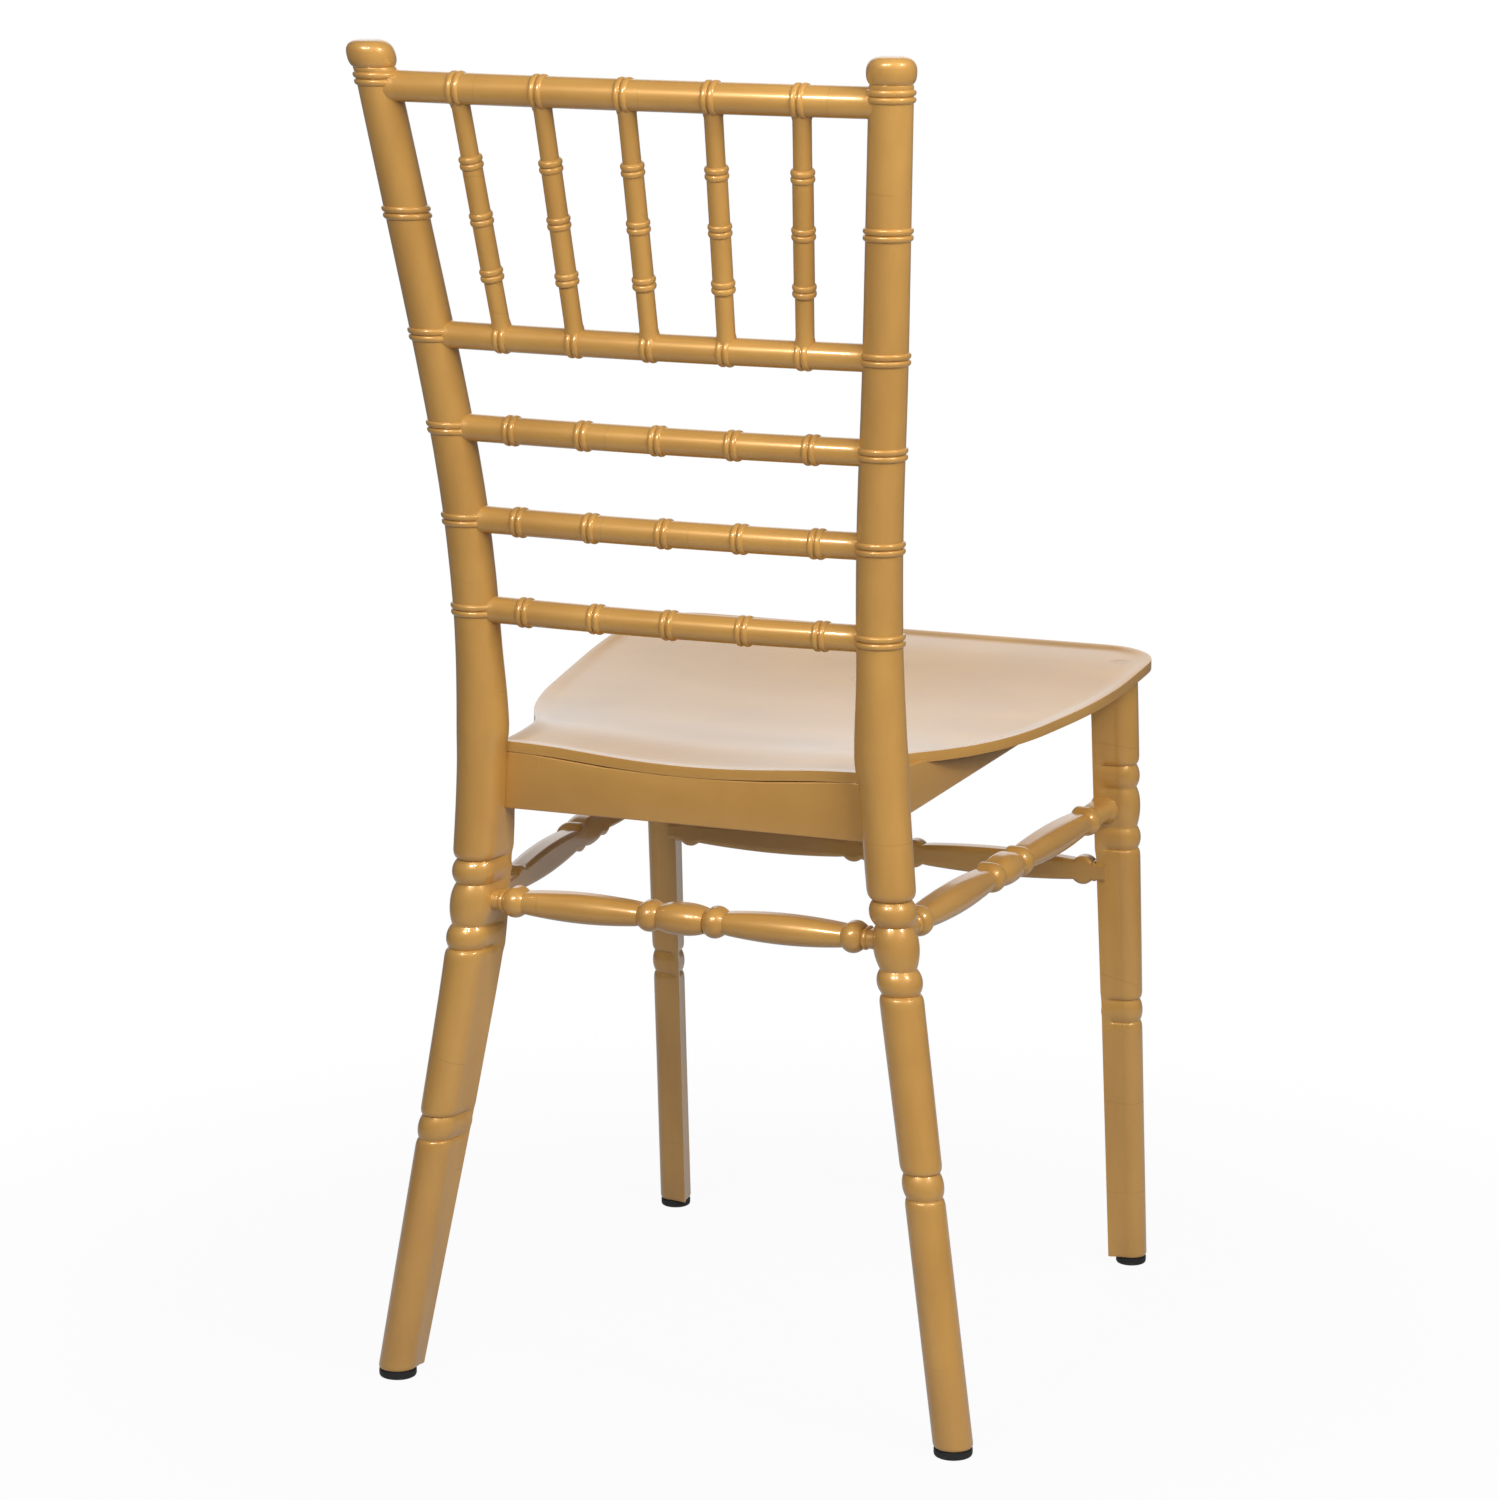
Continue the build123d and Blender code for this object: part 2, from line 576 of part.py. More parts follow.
def glide(point):
    """Black glide under a leg, with a stem up into it."""
    centre = point(FOOT_SHOWING)
    radius = (REAR_SHANK_RADIUS if centre.Y > 0 else FRONT_SHANK_RADIUS) - FOOT_INSET
    start = Vector(centre.X, centre.Y, 0)
    return turned(start, start + UP, [
        (radius, 0),
        (radius, FOOT_SHOWING),
        (STEM_RADIUS, FOOT_SHOWING),
        (STEM_RADIUS, FOOT_SHOWING + STEM_LENGTH),
    ])


# Rails and spindles of the back

def past(start, end):
    """Point a little past the end of a length, so that it laps the next one."""
    return end + (end - start).normalized() * OVERLAP


def rail(height, radius, pitch):
    """Bowed rail of straight lengths that meet under five collars, its ends plugged into the back posts."""
    stops = rail_stops(height, pitch)
    collars = stops[1:-1]
    lengths = [
        rod(stops[0], past(stops[0], collars[0]), radius),
        rod(past(stops[-1], collars[-1]), stops[-1], radius),
    ]
    for start, end in zip(collars, collars[1:]):
        lengths.append(rod(past(end, start), past(start, end), radius))
    depth = 2 * COLLAR_PROUD
    outline = band(0, COLLAR_WIDTH, depth, COLLAR_PROUD, radius - COLLAR_PROUD, radius - COLLAR_PROUD)
    for before, collar, after in zip(stops, collars, stops[2:]):
        lengths.append(turned(collar, collar + (after - before).normalized(), outline))
    with BuildPart() as whole:
        for length in lengths:
            add(length)
    return whole.part


def spindle_ends(step):
    """Where a spindle's axis meets the crest rail's axis and the spindle rail's."""
    return rail_point(CREST_Z, step * CREST_PITCH), rail_point(SPINDLE_RAIL_Z, step * RAIL_PITCH)


def spindle(step):
    """Spindle with three collars, plugged into both rails."""
    top, foot = spindle_ends(step)
    length = (foot - top).length
    low = CREST_RADIUS + COLLAR_PROUD - SPINDLE_PLUG
    high = length - (RAIL_RADIUS + COLLAR_PROUD - SPINDLE_PLUG)
    radii = [SPINDLE_END_RADIUS, SPINDLE_MIDDLE_RADIUS, SPINDLE_MIDDLE_RADIUS, SPINDLE_END_RADIUS]
    outline = [(radii[0], low)]
    for share, below, above in zip(SPINDLE_COLLARS, radii, radii[1:]):
        outline += band(
            share * length, SPINDLE_COLLAR_WIDTH, SPINDLE_COLLAR_PROUD, SPINDLE_COLLAR_SLOPE, below, above,
        )
    outline.append((radii[-1], high))
    return turned(top, foot, outline)


def socketed_rail(height, radius, pitch, from_top):
    """Rail with a socket for each spindle's end."""
    plain = rail(height, radius, pitch)
    depth = radius + COLLAR_PROUD - SPINDLE_PLUG - END_CLEARANCE
    cuts = []
    for step in COLLAR_STEPS:
        top, foot = spindle_ends(step)
        start, end = (top, foot) if from_top else (foot, top)
        along = (end - start).normalized()
        bore = SPINDLE_END_RADIUS + SIDE_CLEARANCE
        cuts.append(rod(start + along * depth, start + along * 2 * radius, bore))
    with BuildPart() as socketed:
        add(plain)
        for cut in cuts:
            add(cut, mode=Mode.SUBTRACT)
    return socketed.part


# Stretchers

def stretcher(line, inward, start_flat, end_flat, neck):
    """Stretcher between two legs: barrel, two vases and beads, half round outside and flat inside."""
    start, end = line
    along = (end - start).normalized()
    low, high = start + along * (start_flat + SHOULDER_GAP), end - along * (end_flat + SHOULDER_GAP)
    half = (high - low).length / 2
    facing = (inward - along * inward.dot(along)).normalized()
    plane = Plane(origin=(low + high) / 2, x_dir=along, z_dir=facing)
    barrel_bead = BARREL_HALF + STRETCHER_BEAD_WIDTH / 2
    vase_start = BARREL_HALF + STRETCHER_BEAD_WIDTH
    outer_bead = half - neck - END_BEAD_WIDTH - STRETCHER_BEAD_WIDTH / 2
    vase_end = outer_bead - STRETCHER_BEAD_WIDTH / 2
    vase_middle = (vase_start + vase_end) / 2
    waist = STRETCHER_WAIST_RADIUS
    with BuildPart() as piece:
        with BuildSketch(plane) as flat:
            with BuildLine():
                Polyline((0, 0), (0, BARREL_RADIUS), (BARREL_SLOPE, BARREL_RADIUS), (BARREL_HALF, waist))
                Polyline(
                    (BARREL_HALF, waist),
                    (BARREL_HALF + STRETCHER_BEAD_SLOPE, STRETCHER_BEAD_RADIUS),
                    (vase_start - STRETCHER_BEAD_SLOPE, STRETCHER_BEAD_RADIUS),
                    (vase_start, waist),
                )
                ThreePointArc((vase_start, waist), (vase_middle, VASE_RADIUS), (vase_end, waist))
                Polyline(
                    (vase_end, waist),
                    (vase_end + STRETCHER_BEAD_SLOPE, STRETCHER_BEAD_RADIUS),
                    (vase_end + STRETCHER_BEAD_WIDTH - STRETCHER_BEAD_SLOPE, STRETCHER_BEAD_RADIUS),
                    (vase_end + STRETCHER_BEAD_WIDTH, waist),
                    (vase_end + STRETCHER_BEAD_WIDTH, END_BEAD_RADIUS),
                    (half - neck, END_BEAD_RADIUS),
                    (half - neck, waist),
                    (half, waist),
                    (half, 0),
                    (0, 0),
                )
            make_face()
            mirror(about=Plane.YZ)
        revolve(axis=Axis(plane.origin, -along), revolution_arc=180)
        with BuildSketch(plane):
            add(flat.sketch_local)
            mirror(about=Plane.XZ)
        extrude(amount=STRETCHER_FLAT_DEPTH)
        with BuildSketch(Plane(origin=low - along * (SHOULDER_GAP + TENON_LENGTH), z_dir=along)):
            Circle(TENON_RADIUS)
        extrude(amount=2 * half + 2 * (SHOULDER_GAP + TENON_LENGTH))
    return piece.part


# Seat

def dish(drop, rear_end):
    """Hollow of the seat, open to the rear, under the plane of the rim lowered by a drop."""
    level = seat_plane(drop)
    rise = SEAT_MIDDLE_Y - DISH_FRONT_Y
    floor = -DISH_DEPTH - OVERLAP
    with BuildPart() as hollow:
        with BuildSketch(Plane(origin=level.origin, x_dir=(1, 0, 0), z_dir=-level.y_dir)):
            with BuildLine():
                ThreePointArc((DISH_HALF, 0), (0, -DISH_DEPTH), (-DISH_HALF, 0))
                Line((-DISH_HALF, 0), (DISH_HALF, 0))
            make_face()
        extrude(amount=SEAT_REAR_Y - SEAT_FRONT_Y, both=True)
        with BuildSketch(Plane(origin=level.origin, x_dir=level.y_dir, z_dir=(1, 0, 0))):
            with BuildLine():
                TangentArc((0, floor), (-rise, 0), tangent=(-1, 0))
                Polyline((-rise, 0), (rear_end, 0), (rear_end, floor), (0, floor))
            make_face()
        extrude(amount=DISH_HALF, both=True, mode=Mode.INTERSECT)
    return hollow.part


def seat_panel():
    """Thin panel with a bevelled lip and a dish that runs out through the rear edge."""
    post_seat = post_point(seat_joint_z)
    rear_half = post_seat.X - POST_RADIUS_AT_SEAT + SEAT_POST_BITE
    rear_y, front_y = SEAT_REAR_Y - SEAT_MIDDLE_Y, SEAT_FRONT_Y - SEAT_MIDDLE_Y
    swells = []
    for depth, width in zip(SEAT_SWELL_DEPTHS, SEAT_SWELL_WIDTHS):
        swell_x = rear_half + width * (SEAT_FRONT_HALF - rear_half)
        swells.append((swell_x, rear_y - depth * (rear_y - front_y)))
    top = seat_plane(0)
    belly, hollow = dish(SEAT_LIP, rear_y), dish(0, rear_y + SEAT_LIP)
    with BuildPart() as panel:
        with BuildSketch(top):
            with BuildLine():
                Polyline((0, rear_y), (rear_half, rear_y), (rear_half, rear_y - 2 * POST_RADIUS_AT_SEAT))
                Spline(
                    (rear_half, rear_y - 2 * POST_RADIUS_AT_SEAT),
                    *swells,
                    (SEAT_FRONT_HALF, front_y + SEAT_CORNER),
                    tangents=[(0, -1), (0, -1)],
                )
                RadiusArc(
                    (SEAT_FRONT_HALF, front_y + SEAT_CORNER),
                    (SEAT_FRONT_HALF - SEAT_CORNER, front_y),
                    SEAT_CORNER,
                )
                Polyline((SEAT_FRONT_HALF - SEAT_CORNER, front_y), (0, front_y), (0, rear_y))
            make_face()
            mirror(about=Plane.YZ)
        extrude(amount=-SEAT_LIP)
        rim = panel.faces().sort_by(Axis.Z)
        chamfer(rim[-1].edges() + rim[0].edges(), length=SEAT_LIP_ROUND)
        add(belly)
        add(hollow, mode=Mode.SUBTRACT)
    return panel.part


def seat():
    """Seat panel, notched round the posts and bored for the front legs' dowels."""
    panel = seat_panel()
    low, high = post_point(seat_joint_z - 2 * SEAT_LIP), post_point(seat_joint_z + 2 * SEAT_LIP)
    notch = rod(low, high, REAR_TOP_RADIUS + NOTCH_CLEARANCE)
    under = seat_plane(SEAT_LIP)
    bore = rod(
        front_top() - under.z_dir * DOWEL_LENGTH,
        front_top() + under.z_dir * (DOWEL_LENGTH + END_CLEARANCE),
        DOWEL_RADIUS + SIDE_CLEARANCE,
    )
    dimple = rod(
        front_top() + under.z_dir * (SEAT_LIP - DIMPLE_DEPTH),
        front_top() + under.z_dir * 2 * SEAT_LIP,
        DIMPLE_RADIUS,
    )
    cuts = [notch, bore, dimple]
    with BuildPart() as cut_out:
        for cut in cuts:
            add(cut)
        mirror(about=Plane.YZ)
    with BuildPart() as whole:
        add(panel)
        add(cut_out.part, mode=Mode.SUBTRACT)
    return whole.part


def opposite(piece):
    """The same piece on the right-hand side."""
    with BuildPart() as other:
        mirror(piece, about=Plane.YZ)
    return other.part


pieces = {
    "crest_rail": socketed_rail(CREST_Z, CREST_RADIUS, CREST_PITCH, True),
    "spindle_rail": socketed_rail(SPINDLE_RAIL_Z, RAIL_RADIUS, RAIL_PITCH, False),
    "seat": seat(),
    "rear_apron": rear_apron_board(0, 0),
    "rear_stretcher": stretcher(rear_line, FORWARD, rear_flat, rear_flat, PLAIN_NECK),
    "front_stretcher": stretcher(front_line, BACKWARD, front_flat, front_flat, PLAIN_NECK),
}
for name, height in LADDER_Z.items():
    pieces[name] = rail(height, RAIL_RADIUS, RAIL_PITCH)
for number, step in enumerate(reversed(COLLAR_STEPS), start=1):
    pieces[f"spindle_{number}"] = spindle(step)
left_pieces = {
    "back_post": back_post(),
    "front_leg": front_leg(),
    "stretcher": stretcher(side_line, INWARD, side_rear_flat, side_front_flat, SIDE_NECK),
    "apron": side_apron_board(0, 0),
    "rear_foot": glide(post_point),
    "front_foot": glide(front_point),
}
for name, piece in left_pieces.items():
    pieces[f"left_{name}"] = piece
    pieces[f"right_{name}"] = opposite(piece)

os.makedirs("parts", exist_ok=True)
for name, piece in pieces.items():
    piece.label = name
    export_step(piece, f"parts/{name}.step")
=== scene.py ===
from math import atan2, cos, hypot, pi, radians, sin

import bmesh
import bpy
from mathutils import Matrix, Vector


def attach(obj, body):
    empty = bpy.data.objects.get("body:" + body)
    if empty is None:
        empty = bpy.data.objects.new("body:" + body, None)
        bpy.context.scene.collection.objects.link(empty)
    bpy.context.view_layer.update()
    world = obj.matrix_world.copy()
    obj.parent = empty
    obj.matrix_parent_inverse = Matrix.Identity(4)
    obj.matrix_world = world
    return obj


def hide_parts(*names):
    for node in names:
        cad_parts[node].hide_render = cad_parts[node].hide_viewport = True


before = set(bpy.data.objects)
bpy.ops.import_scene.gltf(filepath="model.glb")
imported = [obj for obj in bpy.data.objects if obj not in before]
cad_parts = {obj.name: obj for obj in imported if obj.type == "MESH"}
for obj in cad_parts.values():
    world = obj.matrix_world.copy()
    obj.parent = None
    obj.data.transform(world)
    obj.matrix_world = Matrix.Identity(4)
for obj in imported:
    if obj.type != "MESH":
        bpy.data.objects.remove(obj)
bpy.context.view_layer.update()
MM = 0.001

# Chair sizes in millimetres, the same as in the part's source
REAR_FOOT_X, REAR_FOOT_Y = 204.2, 183.0
KNEE_X, KNEE_X_Z, KNEE_X_BEND = 130.5, 465.8, 195.0
KNEE_Y, KNEE_Y_Z, KNEE_Y_BEND = 146.9, 499.5, 248.0
TIP_X, TIP_Y, TIP_Z = 176.6, 240.9, 905.0
FRONT_FOOT = Vector((182.4, -247.8, 0.0))
FRONT_TOP = Vector((178.4, -210.3, 452.0))
CREST_Z, SPINDLE_RAIL_Z, EXTRA_RING_Z = 886.2, 723.5, 803.9
LADDER_Z = {"upper_back_rail": 661.4, "middle_back_rail": 599.4, "lower_back_rail": 538.0}
CREST_RADIUS, RAIL_RADIUS, RAIL_BOW = 10.0, 8.9, 7.0
CREST_PITCH, RAIL_PITCH = 58.7, 52.5
COLLAR_STEPS = (-2, -1, 0, 1, 2)
SEAT_FRONT_Y, SEAT_REAR_Y = -251.7, 157.4
SEAT_FRONT_Z, SEAT_REAR_Z = 459.4, 446.6
SEAT_FRONT_HALF, SEAT_CORNER, SEAT_LIP = 201.0, 45.0, 7.0
FOOT_SHOWING = 6.5
POST_SEAT_Z, POST_RADIUS_AT_SEAT, POST_TAPER = 448.0, 15.6, 1.6

UP = Vector((0, 0, 1))
LEFT = Vector((1, 0, 0))
REARWARD = Vector((0, 1, 0))


# Places along the members

def bent(height, foot, knee, knee_z, bend, tip):
    """Offset at a height of two straight runs that meet at a knee, eased within the bend."""
    lower = (knee - foot) / knee_z
    upper = (tip - knee) / (TIP_Z - knee_z)
    rise = height - knee_z
    if rise < -bend:
        return knee + lower * rise
    if rise > bend:
        return knee + upper * rise
    return knee + lower * rise + (upper - lower) * (rise + bend) ** 2 / (4 * bend)


def post_point(height):
    """Point of the left back post's axis."""
    return Vector((
        bent(height, REAR_FOOT_X, KNEE_X, KNEE_X_Z, KNEE_X_BEND, TIP_X),
        bent(height, REAR_FOOT_Y, KNEE_Y, KNEE_Y_Z, KNEE_Y_BEND, TIP_Y),
        height,
    ))


def front_point(height):
    """Point of the left front leg's axis."""
    return FRONT_FOOT + (FRONT_TOP - FRONT_FOOT) * (height / FRONT_TOP.z)


def straight(height):
    """Point of a straight axis."""
    return Vector((0, 0, height))


def seat_height(y):
    """Height of the seat's rim at a depth."""
    share = (y - SEAT_FRONT_Y) / (SEAT_REAR_Y - SEAT_FRONT_Y)
    return SEAT_FRONT_Z + (SEAT_REAR_Z - SEAT_FRONT_Z) * share


def between(low, high, value):
    """Smooth share, from 0 to 1, of the way from low to high."""
    share = min(max((value - low) / (high - low), 0), 1)
    return share * share * (3 - 2 * share)


def post_radius(height):
    """Radius of the back post above the seat."""
    return POST_RADIUS_AT_SEAT - POST_TAPER * (height - POST_SEAT_Z) / (CREST_Z - POST_SEAT_Z)


def across_chair(point):
    """The same point on the other side of the chair."""
    return Vector((-point.x, point.y, point.z))


# Outlines of turned work, as (height, radius) pairs

BEAD_FULLNESS = 2.2
RING_OFFSET_SHARE, RING_WIDTH_SHARE, RING_FOOT = 0.26, 0.48, 0.4


def bulge(centre, width, edge, crown, steps=12, lift=0.0):
    """Round bead from one groove to the next, widest a little off its middle where it is lifted."""
    outline = []
    for step in range(steps + 1):
        across = 2 * step / steps - 1
        height = centre + width / 2 * across + lift * (1 - across ** 2)
        outline.append((height, edge + (crown - edge) * (1 - abs(across) ** BEAD_FULLNESS)))
    return outline


def half_round(centre, width, shaft, proud, steps=8):
    """Half-round ring on a shaft."""
    outline = []
    for step in range(steps + 1):
        angle = pi * step / steps
        outline.append((centre - width / 2 * cos(angle), shaft + proud * sin(angle)))
    return outline


def double_ring(centre, width, shaft, proud):
    """Two half-round rings side by side."""
    first = half_round(centre - RING_OFFSET_SHARE * width, RING_WIDTH_SHARE * width, shaft, proud)
    second = half_round(centre + RING_OFFSET_SHARE * width, RING_WIDTH_SHARE * width, shaft, proud)
    return [(first[0][0] - RING_FOOT, shaft), *first, *second, (second[-1][0] + RING_FOOT, shaft)]


def rounded_start(low, high, groove, full, steps=5):
    """Quarter round from a groove up to the full radius."""
    outline = []
    for step in range(steps + 1):
        angle = pi / 2 * step / steps
        outline.append((low + (high - low) * (1 - cos(angle)), groove + (full - groove) * sin(angle)))
    return outline


def rounded_end(low, high, full, groove, steps=5):
    """Quarter round from the full radius down to a groove."""
    outline = []
    for step in range(steps + 1):
        angle = pi / 2 * step / steps
        outline.append((low + (high - low) * sin(angle), groove + (full - groove) * cos(angle)))
    return outline


# Modelling

def start_ring(name, segments, radius):
    """New piece with one ring of edges, in edit mode and selected."""
    bpy.ops.object.select_all(action="DESELECT")
    bpy.ops.mesh.primitive_circle_add(vertices=segments, radius=radius * MM, fill_type="NOTHING")
    piece = bpy.context.active_object
    piece.name = name
    bpy.ops.object.mode_set(mode="EDIT")
    bpy.ops.mesh.select_all(action="SELECT")
    return piece


def selected_ring(piece):
    """Points that are selected."""
    shape = bmesh.from_edit_mesh(piece.data)
    return shape, [point for point in shape.verts if point.select]


def choose(shape, points, chosen):
    """Selects the chosen points out of some."""
    for point in points:
        point.select_set(point in chosen)
    shape.select_flush_mode()


def close_piece(piece, smooth_angle):
    """Closes the ends, turns faces outwards and shades the piece smooth."""
    bpy.ops.mesh.select_all(action="SELECT")
    bpy.ops.mesh.remove_doubles(threshold=0.00001)
    bpy.ops.mesh.fill_holes(sides=0)
    bpy.ops.mesh.normals_make_consistent(inside=False)
    bpy.ops.object.mode_set(mode="OBJECT")
    bpy.ops.object.shade_smooth_by_angle(angle=radians(smooth_angle))
    return piece


def turn(name, path, outline, reach=None, segments=64, smooth_angle=42):
    """Piece turned ring by ring along a path; reach gives how far each side of a ring stands out."""
    piece = start_ring(name, segments, outline[0][1])
    centre = Vector((0, 0, 0))
    reaches = [outline[0][1]] * segments
    for number, (height, radius) in enumerate(outline):
        place = path(height) * MM
        if number:
            bpy.ops.mesh.extrude_region_move(TRANSFORM_OT_translate={"value": place - centre})
        else:
            bpy.ops.transform.translate(value=place - centre)
        centre = place
        wanted = [radius] * segments
        if reach:
            wanted = [reach(2 * pi * side / segments, height, radius) for side in range(segments)]
        shares = [round(new / old, 5) for new, old in zip(wanted, reaches)]
        reaches = [share * old for share, old in zip(shares, reaches)]
        if len(set(shares)) == 1:
            bpy.ops.transform.resize(value=(shares[0],) * 3, center_override=centre)
            continue
        shape, ring = selected_ring(piece)
        sides = {}
        for point in ring:
            out = point.co - centre
            side = round(atan2(out.y, out.x) / (2 * pi) * segments) % segments
            sides.setdefault(shares[side], set()).add(point)
        for share, points in sides.items():
            choose(shape, ring, points)
            bpy.ops.transform.resize(value=(share,) * 3, center_override=centre)
        choose(shape, ring, set(ring))
    return close_piece(piece, smooth_angle)


def set_in_place(piece, origin, along, across):
    """Moves a piece that was made upright at the origin, so that it runs along a direction."""
    along = along.normalized()
    across = (across - along * across.dot(along)).normalized()
    turned = Matrix((across, along.cross(across), along)).transposed().to_4x4()
    piece.matrix_world = Matrix.Translation(origin * MM) @ turned
    bpy.ops.object.select_all(action="DESELECT")
    piece.select_set(True)
    bpy.context.view_layer.objects.active = piece
    bpy.ops.object.transform_apply(location=True, rotation=True, scale=True)
    return piece


def round_edges(piece, width, segments, least_angle):
    """Adds a bevel to a piece's sharper edges."""
    bevel = piece.modifiers.new("rounded_edges", "BEVEL")
    bevel.width = width * MM
    bevel.segments = segments
    bevel.limit_method = "ANGLE"
    bevel.angle_limit = radians(least_angle)


def apply_modifiers(piece):
    """Applies a piece's modifiers in their order."""
    bpy.context.view_layer.objects.active = piece
    for modifier in list(piece.modifiers):
        bpy.ops.object.modifier_apply(modifier=modifier.name)


def opposite(piece, name):
    """Copy of a left-hand piece, mirrored to the right."""
    twin = piece.copy()
    twin.data = piece.data.copy()
    twin.name = name
    bpy.context.scene.collection.objects.link(twin)
    bpy.ops.object.select_all(action="DESELECT")
    twin.select_set(True)
    bpy.context.view_layer.objects.active = twin
    bpy.ops.object.mode_set(mode="EDIT")
    bpy.ops.mesh.select_all(action="SELECT")
    bpy.ops.transform.resize(value=(-1, 1, 1), center_override=(0, 0, 0))
    bpy.ops.mesh.normals_make_consistent(inside=False)
    bpy.ops.object.mode_set(mode="OBJECT")
    return twin


def dress(piece, node, material):
    """Puts a finished piece in the place of a node of the chair."""
    piece.data.materials.clear()
    piece.data.materials.append(material)
    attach(piece, "root")
    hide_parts(node)


def dress_pair(left_piece, node_ending, material):
    """Dresses a left-hand piece and its twin on the right."""
    right_piece = opposite(left_piece, left_piece.name.replace("left_", "right_", 1))
    dress(left_piece, f"left_{node_ending}", material)
    dress(right_piece, f"right_{node_ending}", material)


# Legs: round outside, with a square corner turned to the middle of the chair

RIB_HALF_ANGLE, RIB_EASE = radians(8), 0.97
REAR_RIBS = (
    (6.5, 13.3), (186, 13.6), (192, 13.9), (296, 14.6), (303, 15.2), (366, 15.4), (374, 16.2), (470, 16.2),
)
FRONT_RIBS = ((6.5, 11.4), (205, 11.7), (211, 12.0), (313, 12.4), (319, 12.9), (380, 13.0), (460, 13.0))
REAR_SHARES = ((0, 1.0), (178, 1.25), (297, 1.28), (450, 1.0))
FRONT_SHARES = ((0, 1.15), (452, 1.26))
ALMOST_ZERO = 0.001
CORNER_FADE_START, CORNER_FADE_END = 436, 452
FLARE_START, FLARE_FULL, FLARE_END, FLARE_PROUD = 440, 455, 520, 2.6
CREST_RING_RISE, RING_WIDTH, RING_PROUD, RING_ROOM = 4.6, 8.6, 1.6, 5.5
POST_SHAFT_SHARES = (0.35, 0.65)
FINIAL_START, FINIAL_FULL, FINIAL_OUT, FINIAL_BACK = 894, 900, 0.5, 1.2


def along_stops(stops, height):
    """Value at a height on straight runs between stops."""
    for (low, first), (high, last) in zip(stops, stops[1:]):
        if height <= high:
            break
    share = min(max((height - low) / (high - low), 0), 1)
    return first + (last - first) * share


def corner_reach(side, facing, height, radius, ribs, shares):
    """How far a side of a leg stands out; sides between inward and the facing way run to a corner."""
    inward = -cos(side)
    forward = sin(side) * facing
    if inward < ALMOST_ZERO or forward < ALMOST_ZERO:
        return radius
    flare = 1 - 1 / along_stops(shares, height)
    slant = max(inward, forward) - flare * min(inward, forward)
    if abs(atan2(forward, inward) - pi / 4) < RIB_HALF_ANGLE:
        return max(radius, along_stops(ribs, height)) / slant * (RIB_EASE if inward == forward else 1)
    return radius / slant


def post_reach(side, height, radius):
    """Rear leg's corner up to the seat, and above it the post's flare towards the seat."""
    corner = corner_reach(side, -1, height, radius, REAR_RIBS, REAR_SHARES)
    fade = 1 - between(CORNER_FADE_START, CORNER_FADE_END, height)
    swell = between(FLARE_START, FLARE_FULL, height) * (1 - between(FLARE_FULL, FLARE_END, height))
    flare = swell * max(-cos(side), 0) ** 2
    return radius + (corner - radius) * fade + FLARE_PROUD * flare


def front_reach(side, height, radius):
    """Front leg's corner."""
    return corner_reach(side, 1, height, radius, FRONT_RIBS, FRONT_SHARES)


post_outline = [
    (6.5, 12.5), (7.2, 13.0), (8.5, 13.3), (60, 13.3), (110, 13.3), (160, 13.3),
    *rounded_end(163.6, 169.4, 13.3, 12.0),
    *bulge(178.1, 16.8, 11.7, 13.8),
    *rounded_start(186.8, 192.4, 11.9, 13.85),
    (215, 14.0), (245, 14.25), (270, 14.45), (290, 14.6),
    *rounded_end(296.6, 302.6, 14.65, 12.7),
    *bulge(311.2, 16.2, 12.2, 15.1),
    *bulge(334.0, 29.0, 12.1, 15.25, 18, 1.2),
    *bulge(357.2, 16.6, 12.5, 15.8),
    *rounded_start(365.8, 372.6, 12.6, 16.1),
    (385, 16.2), (400, 16.2), (415, 16.2), (425, 16.2), (434, 16.2), (440, 16.3), (446, 16.4), (452, 16.5),
    (458, 16.5), (466, 16.4), (476, 16.25), (488, 16.05), (500, 15.8), (512, 15.6), (524, 15.4),
]
lowest_ring, *upper_rings = sorted([
    *LADDER_Z.values(), SPINDLE_RAIL_Z, EXTRA_RING_Z, CREST_Z + CREST_RING_RISE,
])
post_outline += double_ring(lowest_ring, RING_WIDTH, post_radius(lowest_ring), RING_PROUD)
for ring_z in upper_rings:
    for share in POST_SHAFT_SHARES:
        last = post_outline[-1][0]
        rise = last + (ring_z - RING_ROOM - last) * share
        post_outline.append((rise, post_radius(rise)))
    post_outline += double_ring(ring_z, RING_WIDTH, post_radius(ring_z), RING_PROUD)
post_outline += [
    (897.6, 13.8), (898.2, 13.3), (898.7, 13.9), (899.6, 14.5), (901.2, 15.2), (903.4, 15.6), (906.0, 15.7),
    (908.4, 15.5), (910.6, 14.9), (912.4, 13.8), (913.8, 12.2), (914.7, 10.3), (915.15, 8.4), (915.35, 6.0),
    (915.4, 3.0), (915.4, 0.6),
]


def post_path(height):
    """The post's axis, with the finial set a little out and back."""
    offset = between(FINIAL_START, FINIAL_FULL, height)
    return post_point(height) + Vector((FINIAL_OUT * offset, FINIAL_BACK * offset, 0))


